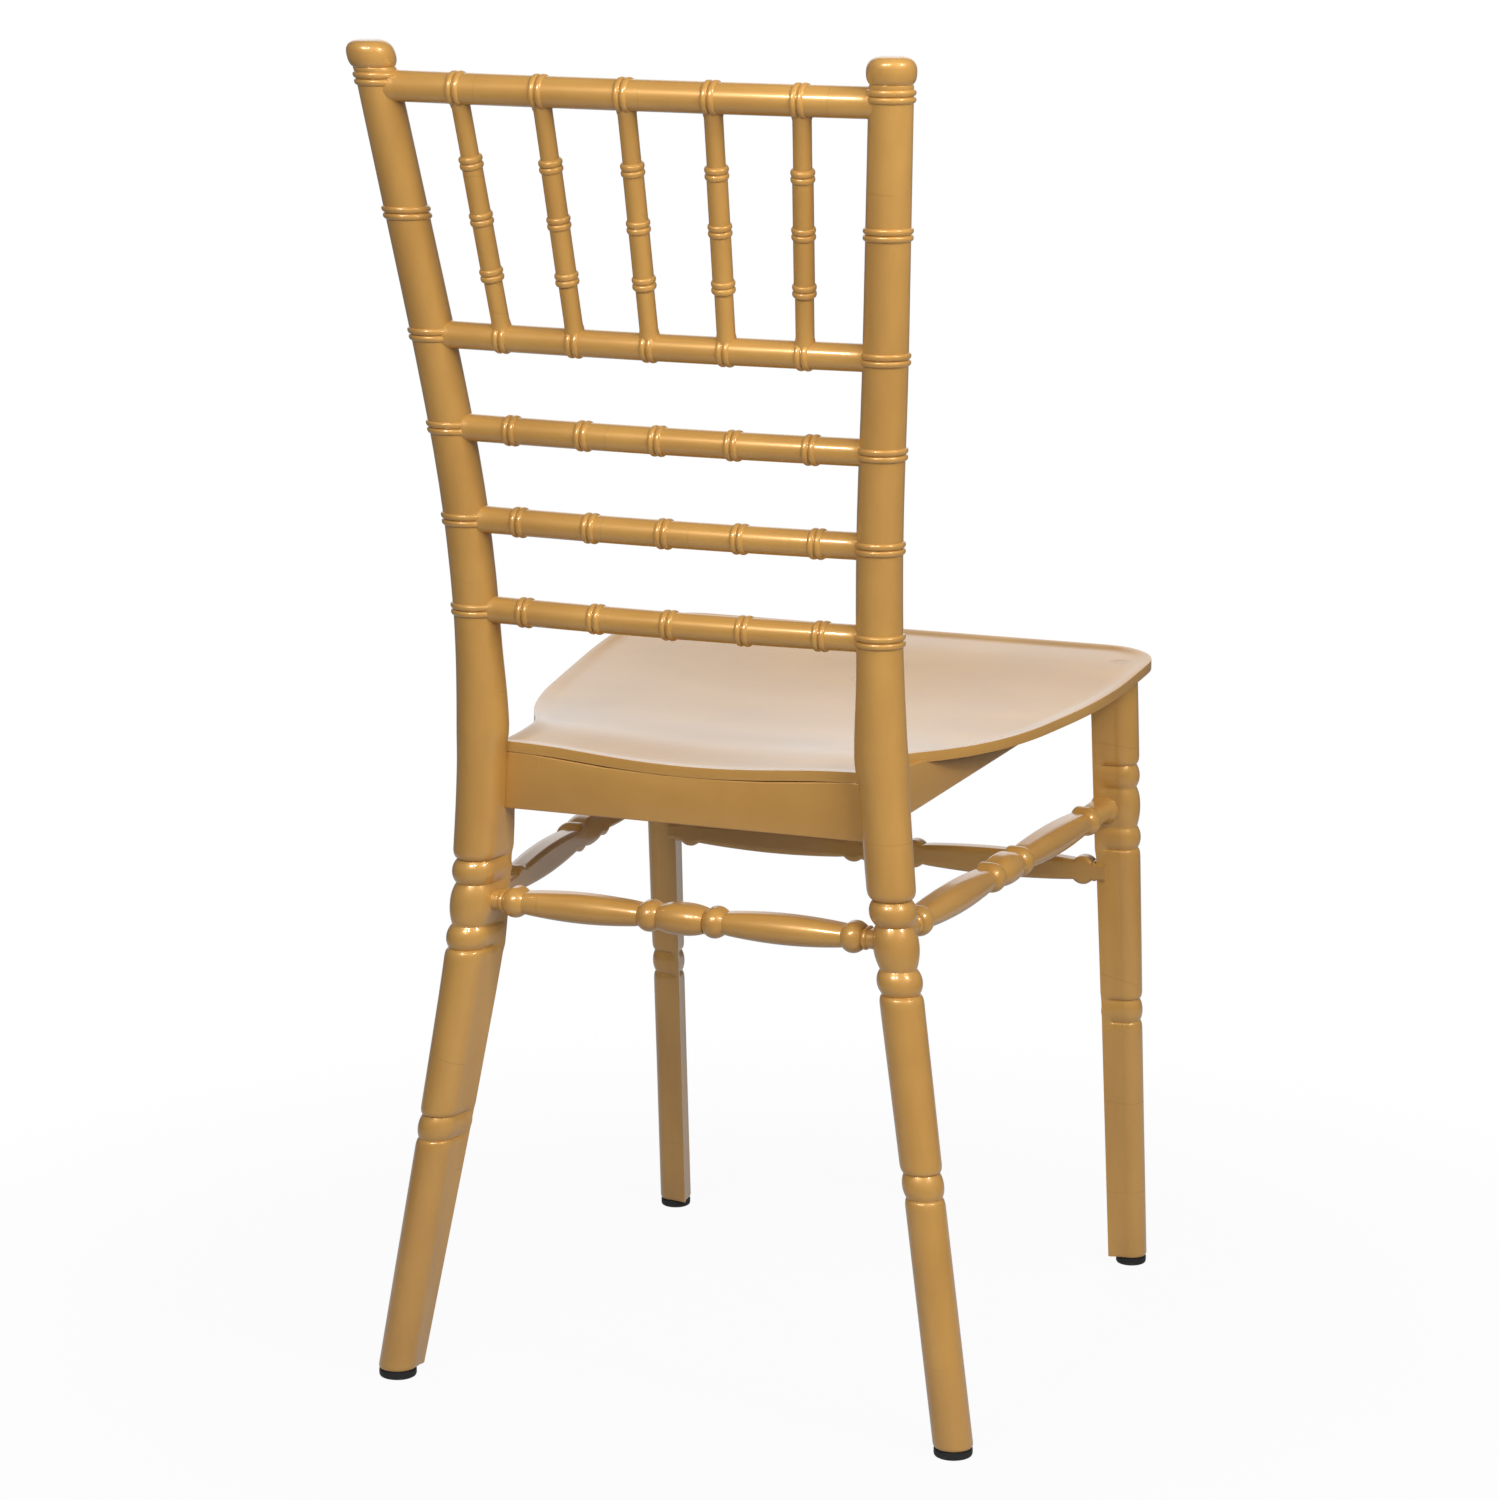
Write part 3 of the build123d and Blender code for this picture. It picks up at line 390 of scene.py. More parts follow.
front_outline = [
    (6.5, 10.7), (7.2, 11.1), (8.5, 11.4), (60, 11.4), (120, 11.4), (170, 11.5),
    *rounded_end(182.0, 187.8, 11.5, 10.0),
    *bulge(196.5, 16.8, 9.9, 11.9),
    *rounded_start(205.2, 210.8, 9.9, 11.9),
    (240, 12.1), (280, 12.3), (306, 12.4),
    *rounded_end(312.4, 318.6, 12.4, 10.7),
    *bulge(327.0, 16.2, 10.6, 12.9),
    *bulge(349.8, 29.0, 10.6, 13.0, 16, 1.4),
    *bulge(373.0, 16.6, 10.7, 13.0),
    *rounded_start(381.6, 388.0, 10.8, 12.95),
    (410, 13.0), (430, 13.0), (446, 13.0), (452.4, 13.0),
]


# Rails and spindles of the back

RAIL_FLARE = ((7.0, 0.7), (2.2, 0.5), (0.6, 0.2), (-1.2, 0.0))
RAIL_SHAFT_SHARES, RAIL_END_RUN = (0.3, 0.7), 12
COLLAR_WIDTH, COLLAR_PROUD = 8.8, 1.35
SPINDLE_RADII, SPINDLE_COLLARS = (6.0, 6.7, 6.7, 6.0), (0.29, 0.515, 0.74)
SPINDLE_COLLAR_WIDTH, SPINDLE_COLLAR_PROUD, SPINDLE_SHAFT_RUN = 8.4, 1.1, 16
SPINDLE_TOP_FLARE = ((-3.5, 6.9), (0.6, 6.6), (2.4, 6.05))
SPINDLE_FOOT_FLARE = ((-3.2, 6.0), (-1.2, 6.35), (3.0, 7.0))


def rail(name, height, radius, pitch):
    """Bowed rail with five double collars, flared where it meets the posts."""
    post = post_point(height)
    surface = post.x - post_radius(height)

    def path(distance):
        return Vector((RAIL_BOW * (1 - (distance / post.x) ** 2), 0, distance))

    end = [(surface + out, radius + proud) for out, proud in RAIL_FLARE]
    outline = [(-distance, thick) for distance, thick in end]
    for step in COLLAR_STEPS:
        collar = step * pitch
        last = outline[-1][0]
        for share in RAIL_SHAFT_SHARES:
            outline.append((last + (collar - RING_ROOM - last) * share, radius))
        outline += double_ring(collar, COLLAR_WIDTH, radius, COLLAR_PROUD)
    outline.append((outline[-1][0] + RAIL_END_RUN, radius))
    outline += reversed(end)
    piece = turn(name, path, outline, segments=56)
    return set_in_place(piece, Vector((0, post.y, height)), LEFT, REARWARD)


def rail_point(height, x):
    """Point of a rail's bowed axis."""
    post = post_point(height)
    return Vector((x, post.y + RAIL_BOW * (1 - (x / post.x) ** 2), height))


def spindle(name, step):
    """Fanned spindle with three double collars, thicker between the outer ones."""
    top = rail_point(CREST_Z, step * CREST_PITCH)
    foot = rail_point(SPINDLE_RAIL_Z, step * RAIL_PITCH)
    length = (foot - top).length
    outline = [(CREST_RADIUS + out, radius) for out, radius in SPINDLE_TOP_FLARE]
    for share, above, below in zip(SPINDLE_COLLARS, SPINDLE_RADII, SPINDLE_RADII[1:]):
        collar = share * length
        ring = double_ring(collar, SPINDLE_COLLAR_WIDTH, max(above, below), SPINDLE_COLLAR_PROUD)
        ring[0] = (ring[0][0], above)
        ring[-1] = (ring[-1][0], below)
        outline += [(collar - SPINDLE_SHAFT_RUN, above), *ring, (collar + SPINDLE_SHAFT_RUN, below)]
    outline += [(length - RAIL_RADIUS + out, radius) for out, radius in SPINDLE_FOOT_FLARE]
    piece = turn(name, straight, outline, segments=48)
    return set_in_place(piece, top, foot - top, REARWARD)


# Stretchers: half round outside, flat inside

STRETCHER_DEPTH, STRETCHER_EDGE = 9.5, 2.6
WAIST, VASE, BARREL, STRETCHER_BEAD = 7.3, 9.9, 10.5, 10.3
BARREL_HALF, INNER_BEAD_WIDTH, OUTER_BEAD_WIDTH = 16.4, 14.2, 13.6
BARREL_EDGE, BARREL_FULLNESS, BARREL_STEPS = 7.9, 2.4, 10
VASE_FULLNESS, VASE_STEPS = 0.85, 24
INNER_BEAD_EDGE, BEAD_STEPS = 7.1, 16
END_RING_ROOM, END_RING_OFFSET, END_RING_WIDTH = 4.0, 2.2, 4.2
END_RING_EDGE, END_RING_CROWN = 6.3, 7.4
LONG_NECK, NECK_START, NECK_RADIUS = 5, 2, 6.9
NECK_FLARE = ((-8, 7.1), (-4, 7.5), (-1.5, 8.3), (0.2, 9.4), (6, 9.6))
PLUG_LENGTH, PLUG_RADIUS = 6, 6.6
QUARTER_COLUMNS, FLAT_COLUMNS, BEND_COLUMNS = 16, 7, 4
ON_MIDDLE = 0.00001


def stretcher_outline(half, neck):
    """Outline of one half, from the middle of the barrel to the end."""
    outer = half - neck - END_RING_ROOM - OUTER_BEAD_WIDTH / 2
    vase_start = BARREL_HALF + INNER_BEAD_WIDTH
    vase_end = outer - OUTER_BEAD_WIDTH / 2
    outline = []
    for step in range(BARREL_STEPS + 1):
        share = step / BARREL_STEPS
        swell = 1 - share ** BARREL_FULLNESS
        outline.append((BARREL_HALF * share, BARREL_EDGE + (BARREL - BARREL_EDGE) * swell))
    inner = BARREL_HALF + INNER_BEAD_WIDTH / 2
    outline += bulge(inner, INNER_BEAD_WIDTH, INNER_BEAD_EDGE, STRETCHER_BEAD, BEAD_STEPS)
    for step in range(1, VASE_STEPS):
        share = step / VASE_STEPS
        swell = sin(pi * share) ** VASE_FULLNESS
        outline.append((vase_start + (vase_end - vase_start) * share, WAIST + (VASE - WAIST) * swell))
    outline += bulge(outer, OUTER_BEAD_WIDTH, WAIST, STRETCHER_BEAD, BEAD_STEPS)
    end_ring = outer + OUTER_BEAD_WIDTH / 2 + END_RING_OFFSET
    outline += bulge(end_ring, END_RING_WIDTH, END_RING_EDGE, END_RING_CROWN, 8)
    if neck > LONG_NECK:
        outline.append((half - neck + NECK_START, NECK_RADIUS))
        outline += [(half + out, radius) for out, radius in NECK_FLARE]
    else:
        outline.append((half + PLUG_LENGTH, PLUG_RADIUS))
    return outline


def half_flat(name, outline):
    """Piece turned half round on one side and squared on the other, made upright."""
    segments = 4 * QUARTER_COLUMNS
    radius = outline[0][1]
    inner = STRETCHER_DEPTH - STRETCHER_EDGE
    side_columns = QUARTER_COLUMNS - FLAT_COLUMNS - BEND_COLUMNS
    piece = start_ring(name, segments, radius)
    shape, ring = selected_ring(piece)
    columns = {}
    for point in ring:
        turn_from_top = round((pi / 2 - atan2(abs(point.co.y), point.co.x)) / (2 * pi) * segments)
        if turn_from_top > 0:
            columns.setdefault(turn_from_top, set()).add(point)
    for column, points in columns.items():
        angle = pi / 2 - column * 2 * pi / segments
        if column <= FLAT_COLUMNS:
            out = inner * column / FLAT_COLUMNS
            high = radius
        elif column < FLAT_COLUMNS + BEND_COLUMNS:
            bend = (column - FLAT_COLUMNS) / BEND_COLUMNS * pi / 2
            out = inner + STRETCHER_EDGE * sin(bend)
            high = radius - STRETCHER_EDGE * (1 - cos(bend))
        else:
            out = STRETCHER_DEPTH
            high = (radius - STRETCHER_EDGE) * (QUARTER_COLUMNS - column) / side_columns
        scale_y = high / (radius * sin(angle)) if column < QUARTER_COLUMNS else 1
        choose(shape, ring, points)
        bpy.ops.transform.resize(value=(out / (radius * cos(angle)), scale_y, 1), center_override=(0, 0, 0))
    choose(shape, ring, set(ring))
    bpy.ops.transform.translate(value=(0, 0, outline[0][0] * MM))
    for (before, old), (height, new) in zip(outline, outline[1:]):
        bpy.ops.mesh.extrude_region_move(TRANSFORM_OT_translate={"value": (0, 0, (height - before) * MM)})
        share = new / old
        centre = (0, 0, height * MM)
        bpy.ops.transform.resize(value=(1, share, 1), center_override=centre)
        shape, ring = selected_ring(piece)
        choose(shape, ring, {point for point in ring if point.co.x < ON_MIDDLE})
        bpy.ops.transform.resize(value=(share, 1, 1), center_override=centre)
        choose(shape, ring, set(ring))
    return close_piece(piece, 45)


def stretcher(name, start, end, inward, inset, flats, neck):
    """Stretcher between two legs' axes, set in to the middle of the chair."""
    start, end = start + inward * inset, end + inward * inset
    along = (end - start).normalized()
    low, high = start + along * flats[0], end - along * flats[1]
    half = (high - low).length / 2
    side = stretcher_outline(half, neck)
    outline = [(-height, radius) for height, radius in reversed(side[1:])] + side
    piece = half_flat(name, outline)
    return set_in_place(piece, (low + high) / 2, along, inward)


# Seat

SEAT_SIDE = (
    (131.2, 157.4), (131.2, 124.0), (135.7, 96.0), (148.2, 70.0), (161.0, 43.0), (172.0, 13.0),
    (180.6, -18.0), (186.4, -49.0), (194.4, -99.0), (199.6, -145.0), (201.0, -190.0), (201.0, -206.7),
)
SEAT_SAGS = (
    (-251.7, 0.0), (-215, 0.6), (-190, 2.0), (-145, 5.0), (-99, 7.0), (-49, 7.6), (-18, 7.5), (13, 6.8),
    (43, 5.3), (70, 3.3), (96, 0.8), (115, 0.0), (157.4, 0.0),
)
SEAT_COLUMNS = (
    (0.0, 1.0), (0.09, 0.985), (0.18, 0.94), (0.27, 0.86), (0.36, 0.75), (0.45, 0.62), (0.54, 0.47),
    (0.62, 0.34), (0.69, 0.23), (0.75, 0.16), (0.8, 0.11), (0.85, 0.07), (0.89, 0.04), (0.915, 0.025),
    (0.935, 0.015), (0.95, 0.01), (0.962, 0.005), (0.973, 0.0), (0.982, 0.0), (0.992, 0.0), (1.0, 0.0),
)
GRID_HALF = 1
REAR_ROWS, FRONT_ROWS = (1.5, 3, 5, 7.5, 10.5), (38, 31, 25, 20, 15.5, 11.5, 8, 5, 2.8, 1.2, 0.3, 0)
EVEN_ROWS_START, EVEN_ROWS_PITCH, EVEN_ROWS = 14, 8, 45
DISH_DEPTH, DISH_LEAST = 6.5, 0.02
DISH_FADE_START, DISH_FADE_END = -60, -226
DISH_EASE_START, DISH_EASE_END, DISH_EASE = 140, 40, 0.4
RIM_RISE, RIM_LEVELS, RIM_EDGE, RIM_FOOT = 1.7, 10, 1, 13
SEAT_EDGE_ROUND, BOARD_EDGE_ROUND = 2.3, 1.1
BOARD_CUTS, BOARD_FRONT_Y, BOARD_DEPTH = range(-180, 121, 30), -201, 347
BOARD_DRAWN_IN, BOARD_DROP, BOARD_BITE, BOARD_TOP_BAND = 9, 6.5, 1.5, 2.5


def smooth_run(stops, value):
    """Value on a smooth curve through stops."""
    for number, ((v_1, r_1), (v_2, r_2)) in enumerate(zip(stops, stops[1:])):
        if (value - v_1) * (value - v_2) <= 0:
            break
    v_0, r_0 = stops[max(number - 1, 0)]
    v_3, r_3 = stops[min(number + 2, len(stops) - 1)]
    span = v_2 - v_1
    first = (r_2 - r_0) / (v_2 - v_0) * span
    last = (r_3 - r_1) / (v_3 - v_1) * span
    t = (value - v_1) / span
    rise = r_2 - r_1
    return r_1 + first * t + (3 * rise - 2 * first - last) * t ** 2 + (first + last - 2 * rise) * t ** 3


def rim_height(y):
    """Height of the seat's rim at a depth, sagging between rear and front."""
    return seat_height(y) - smooth_run(SEAT_SAGS, y)


def seat_half(y):
    """Half width of the seat at a depth."""
    into_corner = SEAT_FRONT_Y + SEAT_CORNER - y
    if into_corner > 0:
        return SEAT_FRONT_HALF - SEAT_CORNER + max(SEAT_CORNER ** 2 - into_corner ** 2, 0) ** 0.5
    return smooth_run([(depth, half) for half, depth in SEAT_SIDE], y)


def dish_share(y):
    """How deep the dish is at a depth, as a share of its full depth."""
    front_fade = 1 - between(DISH_FADE_START, DISH_FADE_END, y)
    return max(front_fade * (1 - DISH_EASE * between(DISH_EASE_START, DISH_EASE_END, y)), DISH_LEAST)


def rim_inset(x, y):
    """How far a point lies in from the seat's edge."""
    past_x = abs(x) - (SEAT_FRONT_HALF - SEAT_CORNER)
    past_y = SEAT_FRONT_Y + SEAT_CORNER - y
    if past_x > 0 and past_y > 0:
        return SEAT_CORNER - hypot(past_x, past_y)
    return min(seat_half(y) - abs(x), y - SEAT_FRONT_Y, SEAT_REAR_Y - y)


def seat_piece():
    """Seat panel drawn out row by row from a small strip at its rear edge, thickened and rounded."""
    bpy.ops.object.select_all(action="DESELECT")
    columns = len(SEAT_COLUMNS) - 1
    bpy.ops.mesh.primitive_grid_add(x_subdivisions=2 * columns, y_subdivisions=1, size=2 * GRID_HALF * MM)
    piece = bpy.context.active_object
    piece.name = "seat_dished"
    bpy.ops.object.mode_set(mode="EDIT")
    bpy.ops.mesh.select_all(action="SELECT")
    shape, points = selected_ring(piece)
    rear_half = seat_half(SEAT_REAR_Y)
    for column, (share, depth) in enumerate(SEAT_COLUMNS):
        pair = {point for point in points if round(abs(point.co.x) / MM * columns) == column}
        choose(shape, points, pair)
        bpy.ops.transform.translate(value=(0, 0, -DISH_DEPTH * depth * MM))
        if column:
            wide = share * rear_half / (column / columns)
            bpy.ops.transform.resize(value=(wide, 1, 1), center_override=(0, 0, 0))
    rear = {point for point in points if point.co.y > 0}
    choose(shape, points, rear)
    bpy.ops.transform.translate(value=(0, (SEAT_REAR_Y - GRID_HALF) * MM, rim_height(SEAT_REAR_Y) * MM))
    rows = [SEAT_REAR_Y - edge for edge in REAR_ROWS]
    rows += [SEAT_REAR_Y - EVEN_ROWS_START - EVEN_ROWS_PITCH * number for number in range(EVEN_ROWS)]
    rows += [SEAT_FRONT_Y + edge for edge in FRONT_ROWS]
    choose(shape, points, set(points) - rear)
    bpy.ops.transform.translate(value=(0, (rows[0] + GRID_HALF) * MM, rim_height(rows[0]) * MM))
    for before, y in zip(rows, rows[1:]):
        rise = rim_height(y) - rim_height(before)
        bpy.ops.mesh.extrude_region_move(TRANSFORM_OT_translate={"value": (0, (y - before) * MM, rise * MM)})
        wide = seat_half(y) / seat_half(before)
        deep = dish_share(y) / dish_share(before)
        bpy.ops.transform.resize(value=(wide, 1, deep), center_override=(0, y * MM, rim_height(y) * MM))
    bpy.ops.mesh.select_all(action="SELECT")
    shape, points = selected_ring(piece)
    levels = {}
    for point in points:
        inset = rim_inset(point.co.x / MM, point.co.y / MM)
        level = round(RIM_LEVELS * between(RIM_EDGE, RIM_FOOT, inset))
        levels.setdefault(level, set()).add(point)
    for level, chosen in levels.items():
        choose(shape, points, chosen)
        bpy.ops.transform.translate(value=(0, 0, -RIM_RISE * level / RIM_LEVELS * MM))
    bpy.ops.mesh.select_all(action="SELECT")
    bpy.ops.mesh.normals_make_consistent(inside=False)
    shape = bmesh.from_edit_mesh(piece.data)
    shape.faces.ensure_lookup_table()
    if shape.faces[0].normal.z < 0:
        bpy.ops.mesh.flip_normals()
    bpy.ops.object.mode_set(mode="OBJECT")
    shell = piece.modifiers.new("shell", "SOLIDIFY")
    shell.thickness = SEAT_LIP * MM
    shell.offset = -1
    round_edges(piece, SEAT_EDGE_ROUND, 4, 50)
    apply_modifiers(piece)
    bpy.ops.object.shade_smooth_by_angle(angle=radians(40))
    return piece


def fit_under_seat(board, inward):
    """Draws a side board's rear end in and down, and lets its top follow the sagging seat."""
    for cut in BOARD_CUTS:
        bpy.ops.mesh.select_all(action="SELECT")
        bpy.ops.mesh.bisect(plane_co=(0, cut * MM, 0), plane_no=(0, 1, 0))
    bpy.ops.mesh.select_all(action="SELECT")
    shape, points = selected_ring(board)
    slices = {}
    for point in points:
        slices.setdefault(round(point.co.y / MM), set()).add(point)
    for y, slice_points in slices.items():
        rearward = min(max((y - BOARD_FRONT_Y) / BOARD_DEPTH, 0), 1)
        top_from = seat_height(y) - SEAT_LIP - BOARD_TOP_BAND
        top = {point for point in slice_points if point.co.z / MM > top_from}
        choose(shape, points, slice_points)
        bpy.ops.transform.translate(value=(inward * BOARD_DRAWN_IN * rearward * MM, 0, 0))
        choose(shape, points, slice_points - top)
        bpy.ops.transform.translate(value=(0, 0, -BOARD_DROP * rearward * MM))
        choose(shape, points, top)
        bpy.ops.transform.translate(value=(0, 0, (BOARD_BITE - smooth_run(SEAT_SAGS, y)) * MM))


def eased_board(node, name, inward):
    """Copy of a board with softened edges; a side board is fitted under the seat's rim."""
    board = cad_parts[node].copy()
    board.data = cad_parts[node].data.copy()
    for key in list(board.keys()):
        del board[key]
    board.parent = None
    board.name = name
    bpy.context.scene.collection.objects.link(board)
    bpy.ops.object.select_all(action="DESELECT")
    board.select_set(True)
    bpy.context.view_layer.objects.active = board
    bpy.ops.object.mode_set(mode="EDIT")
    bpy.ops.mesh.select_all(action="SELECT")
    bpy.ops.mesh.remove_doubles(threshold=0.00002)
    bpy.ops.mesh.dissolve_limited(angle_limit=radians(2))
    bpy.ops.mesh.normals_make_consistent(inside=False)
    if inward:
        fit_under_seat(board, inward)
    bpy.ops.object.mode_set(mode="OBJECT")
    round_edges(board, BOARD_EDGE_ROUND, 3, 40)
    apply_modifiers(board)
    bpy.ops.object.shade_smooth_by_angle(angle=radians(35))
    return board


# Feet

GLIDE_OUTLINE = (
    (0.0, -2.2), (0.15, -1.4), (0.6, -0.6), (1.4, -0.15), (2.4, 0.0),
    (5.0, 0.0), (5.3, -0.1), (5.5, -0.9), (6.0, -1.0), (7.4, -1.0),
)
REAR_GLIDE_RADIUS, FRONT_GLIDE_RADIUS = 12.9, 11.0


def glide(name, point, radius):
    """Black glide under a leg, with a rounded sole and a groove under the leg's end."""
    piece = turn(name, straight, [(height, radius + out) for height, out in GLIDE_OUTLINE], segments=56)
    centre = point(FOOT_SHOWING)
    return set_in_place(piece, Vector((centre.x, centre.y, 0)), UP, LEFT)


# Finishes

class Wire:
    """Output of a shader node, on which plain sums can be written."""

    def __init__(self, finish, socket):
        self.finish = finish
        self.socket = socket

    def sum(self, operation, first, second):
        return self.finish.node("ShaderNodeMath", {"operation": operation}, {0: first, 1: second})

    def __add__(self, other):
        return self.sum("ADD", self, other)

    def __radd__(self, other):
        return self.sum("ADD", other, self)

    def __sub__(self, other):
        return self.sum("SUBTRACT", self, other)

    def __rsub__(self, other):
        return self.sum("SUBTRACT", other, self)

    def __mul__(self, other):
        return self.sum("MULTIPLY", self, other)

    def __rmul__(self, other):
        return self.sum("MULTIPLY", other, self)


class Finish:
    """Nodes of one material, or of the studio around the chair."""

    def __init__(self, owner):
        owner.use_nodes = True
        self.owner = owner
        self.tree = owner.node_tree
        self.tree.nodes.clear()

    def node(self, kind, settings=None, inputs=None, output=0):
        """New node with its settings, then the values or links of its sockets; gives one output."""
        made = self.tree.nodes.new(kind)
        for name, value in (settings or {}).items():
            setattr(made, name, value)
        for name, value in (inputs or {}).items():
            if isinstance(value, Wire):
                self.tree.links.new(value.socket, made.inputs[name])
            else:
                made.inputs[name].default_value = value
        return Wire(self, made.outputs[output]) if made.outputs else None

    def noise(self, place, scale, detail=2.0, roughness=0.5):
        return self.node("ShaderNodeTexNoise", None, {
            "Vector": place, "Scale": scale, "Detail": detail, "Roughness": roughness,
        })

    def stretched(self, place, scale):
        return self.node("ShaderNodeMapping", {"vector_type": "POINT"}, {"Vector": place, "Scale": scale})

    def ease(self, value, low, high):
        return self.node("ShaderNodeMapRange", {"interpolation_type": "SMOOTHSTEP"}, {
            "Value": value, "From Min": low, "From Max": high, "To Min": 0.0, "To Max": 1.0,
        })

    def blend(self, share, first, second):
        return self.node("ShaderNodeMix", {"data_type": "RGBA"}, {0: share, 6: first, 7: second}, 2)

    def vector_sum(self, operation, first, second, output):
        return self.node("ShaderNodeVectorMath", {"operation": operation}, {0: first, 1: second}, output)

    def along(self, place, direction):
        return self.vector_sum("DOT_PRODUCT", place, direction, "Value")

    def light_path(self, ray):
        return self.node("ShaderNodeLightPath", None, None, ray)

    def mirrored(self):
        return self.light_path("Is Glossy Ray") + self.light_path("Is Transmission Ray")

    def surface(self, shader):
        self.node("ShaderNodeOutputMaterial", None, {"Surface": shader})


GOLD = (0.6, 0.322, 0.08, 1)
GOLD_DEEP = (0.51, 0.262, 0.062, 1)
GOLD_PALE = (0.67, 0.39, 0.122, 1)
GOLD_DARK = (0.28, 0.15, 0.045, 1)
CLOUD_SCALE, PEARL_SCALE, SKIN_SCALE, WAVE_SCALE, SPREAD_SCALE = 14.0, 1900.0, 240.0, 32.0, 7.0
LINE_HALF_WIDTH = 0.0007
# Dimples near the seat's front corners; the darker colour inside them is painted shade.
DENT_PLACE, DENT_FLOOR, DENT_EDGE = (0.1785, 0.211, 0.455), 0.003, 0.009
GLIDE_BLACK, GLIDE_WORN = (0.014, 0.014, 0.014, 1), (0.1, 0.095, 0.09, 1)


def gold_resin(name, flow_scale, line_axis, line_pitch, deep=0.0, texture=0.16, dented=False):
    """Pearl gold moulded resin: soft clouds, flow streaks, fine pearl, and knit lines across a member; a
    dented seat also gets dimples near its front corners, darkened with painted shade.
    """
    finish = Finish(bpy.data.materials.new(name))
    place = finish.node("ShaderNodeTexCoord", None, None, "Object")
    cloud = finish.noise(place, CLOUD_SCALE, 3.0)
    flow = finish.noise(finish.stretched(place, flow_scale), 1.0, 4.0, 0.6)
    pearl = finish.noise(place, PEARL_SCALE, 1.0)
    skin = finish.noise(place, SKIN_SCALE, 2.0)
    axis = finish.node("ShaderNodeSeparateXYZ", None, {"Vector": place}, line_axis)
    wave = finish.noise(place, WAVE_SCALE, 1.0)
    spread = finish.noise(place, SPREAD_SCALE, 0.0)
    run = axis * (1 / line_pitch) + wave * 0.035 + spread * 0.6
    to_line = finish.node("ShaderNodeMath", {"operation": "PINGPONG"}, {0: run, 1: 0.5})
    line = (1 - finish.ease(to_line, 0.0, LINE_HALF_WIDTH / line_pitch)) * finish.ease(cloud, 0.5, 0.6)
    tone = finish.ease(cloud * 0.55 + flow * 0.45, 0.3, 0.7)
    base = finish.blend(tone, GOLD_DEEP, GOLD)
    base = finish.blend(finish.ease(pearl, 0.62, 0.75) * 0.22, base, GOLD_PALE)
    base = finish.blend(line * 0.25, base, GOLD_DARK)
    base = finish.blend(deep, base, GOLD_DEEP)
    rough = 0.3 + cloud * 0.06 + flow * 0.04
    height = skin * 0.25 + pearl * 0.08 + line * 0.6 + flow * 0.5
    bump = finish.node("ShaderNodeBump", None, {"Strength": texture, "Distance": 0.0004, "Height": height})
    if dented:
        unsigned = finish.node("ShaderNodeVectorMath", {"operation": "ABSOLUTE"}, {0: place})
        from_dent = finish.vector_sum("DISTANCE", unsigned, DENT_PLACE, "Value")
        hollow = finish.ease(from_dent, DENT_FLOOR, DENT_EDGE)
        # Painted shade: the colour inside each dimple is blended towards GOLD_DARK, as if shade fell in the
        # hollow.
        base = finish.blend((1 - hollow) * 0.3, base, GOLD_DARK)
        bump = finish.node("ShaderNodeBump", None, {
            "Strength": 0.7, "Distance": 0.0012, "Height": hollow, "Normal": bump,
        })
    finish.surface(finish.node("ShaderNodeBsdfPrincipled", None, {
        "Base Color": base, "Roughness": rough, "Metallic": 0.25, "Normal": bump,
        "Coat Weight": 1.0, "Coat Roughness": 0.11, "IOR": 1.5,
    }))
    return finish.owner


def black_glide():
    """Matt black moulded foot, scuffed grey near the floor."""
    finish = Finish(bpy.data.materials.new("black_glide_finish"))
    place = finish.node("ShaderNodeTexCoord", None, None, "Object")
    height = finish.node("ShaderNodeSeparateXYZ", None, {"Vector": place}, 2)
    scuff = finish.noise(finish.stretched(place, (160, 160, 420)), 1.0, 4.0, 0.65)
    grain = finish.noise(place, 900.0, 2.0)
    worn = finish.ease(scuff, 0.5, 0.68) * (1 - finish.ease(height, 0.0005, 0.004))
    base = finish.blend(worn * 0.7, GLIDE_BLACK, GLIDE_WORN)
    bump = finish.node("ShaderNodeBump", None, {
        "Strength": 0.3, "Distance": 0.0003, "Height": grain + scuff,
    })
    finish.surface(finish.node("ShaderNodeBsdfPrincipled", None, {
        "Base Color": base, "Roughness": 0.45 + grain * 0.25, "Normal": bump,
    }))
    return finish.owner


upright_gold = gold_resin("gold_uprights", (46, 46, 9), line_axis=2, line_pitch=0.085)
rail_gold = gold_resin("gold_rails", (12, 60, 60), line_axis=0, line_pitch=0.06)
side_gold = gold_resin("gold_side_rails", (60, 12, 60), line_axis=1, line_pitch=0.07)
seat_gold = gold_resin("gold_seat", (10, 10, 40), line_axis=1, line_pitch=0.4, texture=0.04, dented=True)
board_gold = gold_resin("gold_boards", (22, 22, 22), line_axis=0, line_pitch=0.16, deep=0.35, texture=0.12)
glide_black = black_glide()


# Pieces in place

REAR_STRETCHER_Z, FRONT_STRETCHER_Z = 336.5, 302.0
SIDE_STRETCHER_REAR_Z, SIDE_STRETCHER_FRONT_Z = 337.5, 349.0
REAR_STRETCHER_INSET, FRONT_STRETCHER_INSET, SIDE_STRETCHER_INSET = 3.0, 6.5, 7.0
REAR_LEG_FLAT, FRONT_LEG_FLAT, FRONT_LEG_SIDE_FLAT = 19.4, 15.1, 16.0
PLAIN_NECK, SIDE_NECK = 0.5, 21.0

left_post = turn("left_back_post_turned", post_path, post_outline, post_reach)
dress_pair(left_post, "back_post", upright_gold)
left_leg = turn("left_front_leg_turned", front_point, front_outline, front_reach)
dress_pair(left_leg, "front_leg", upright_gold)

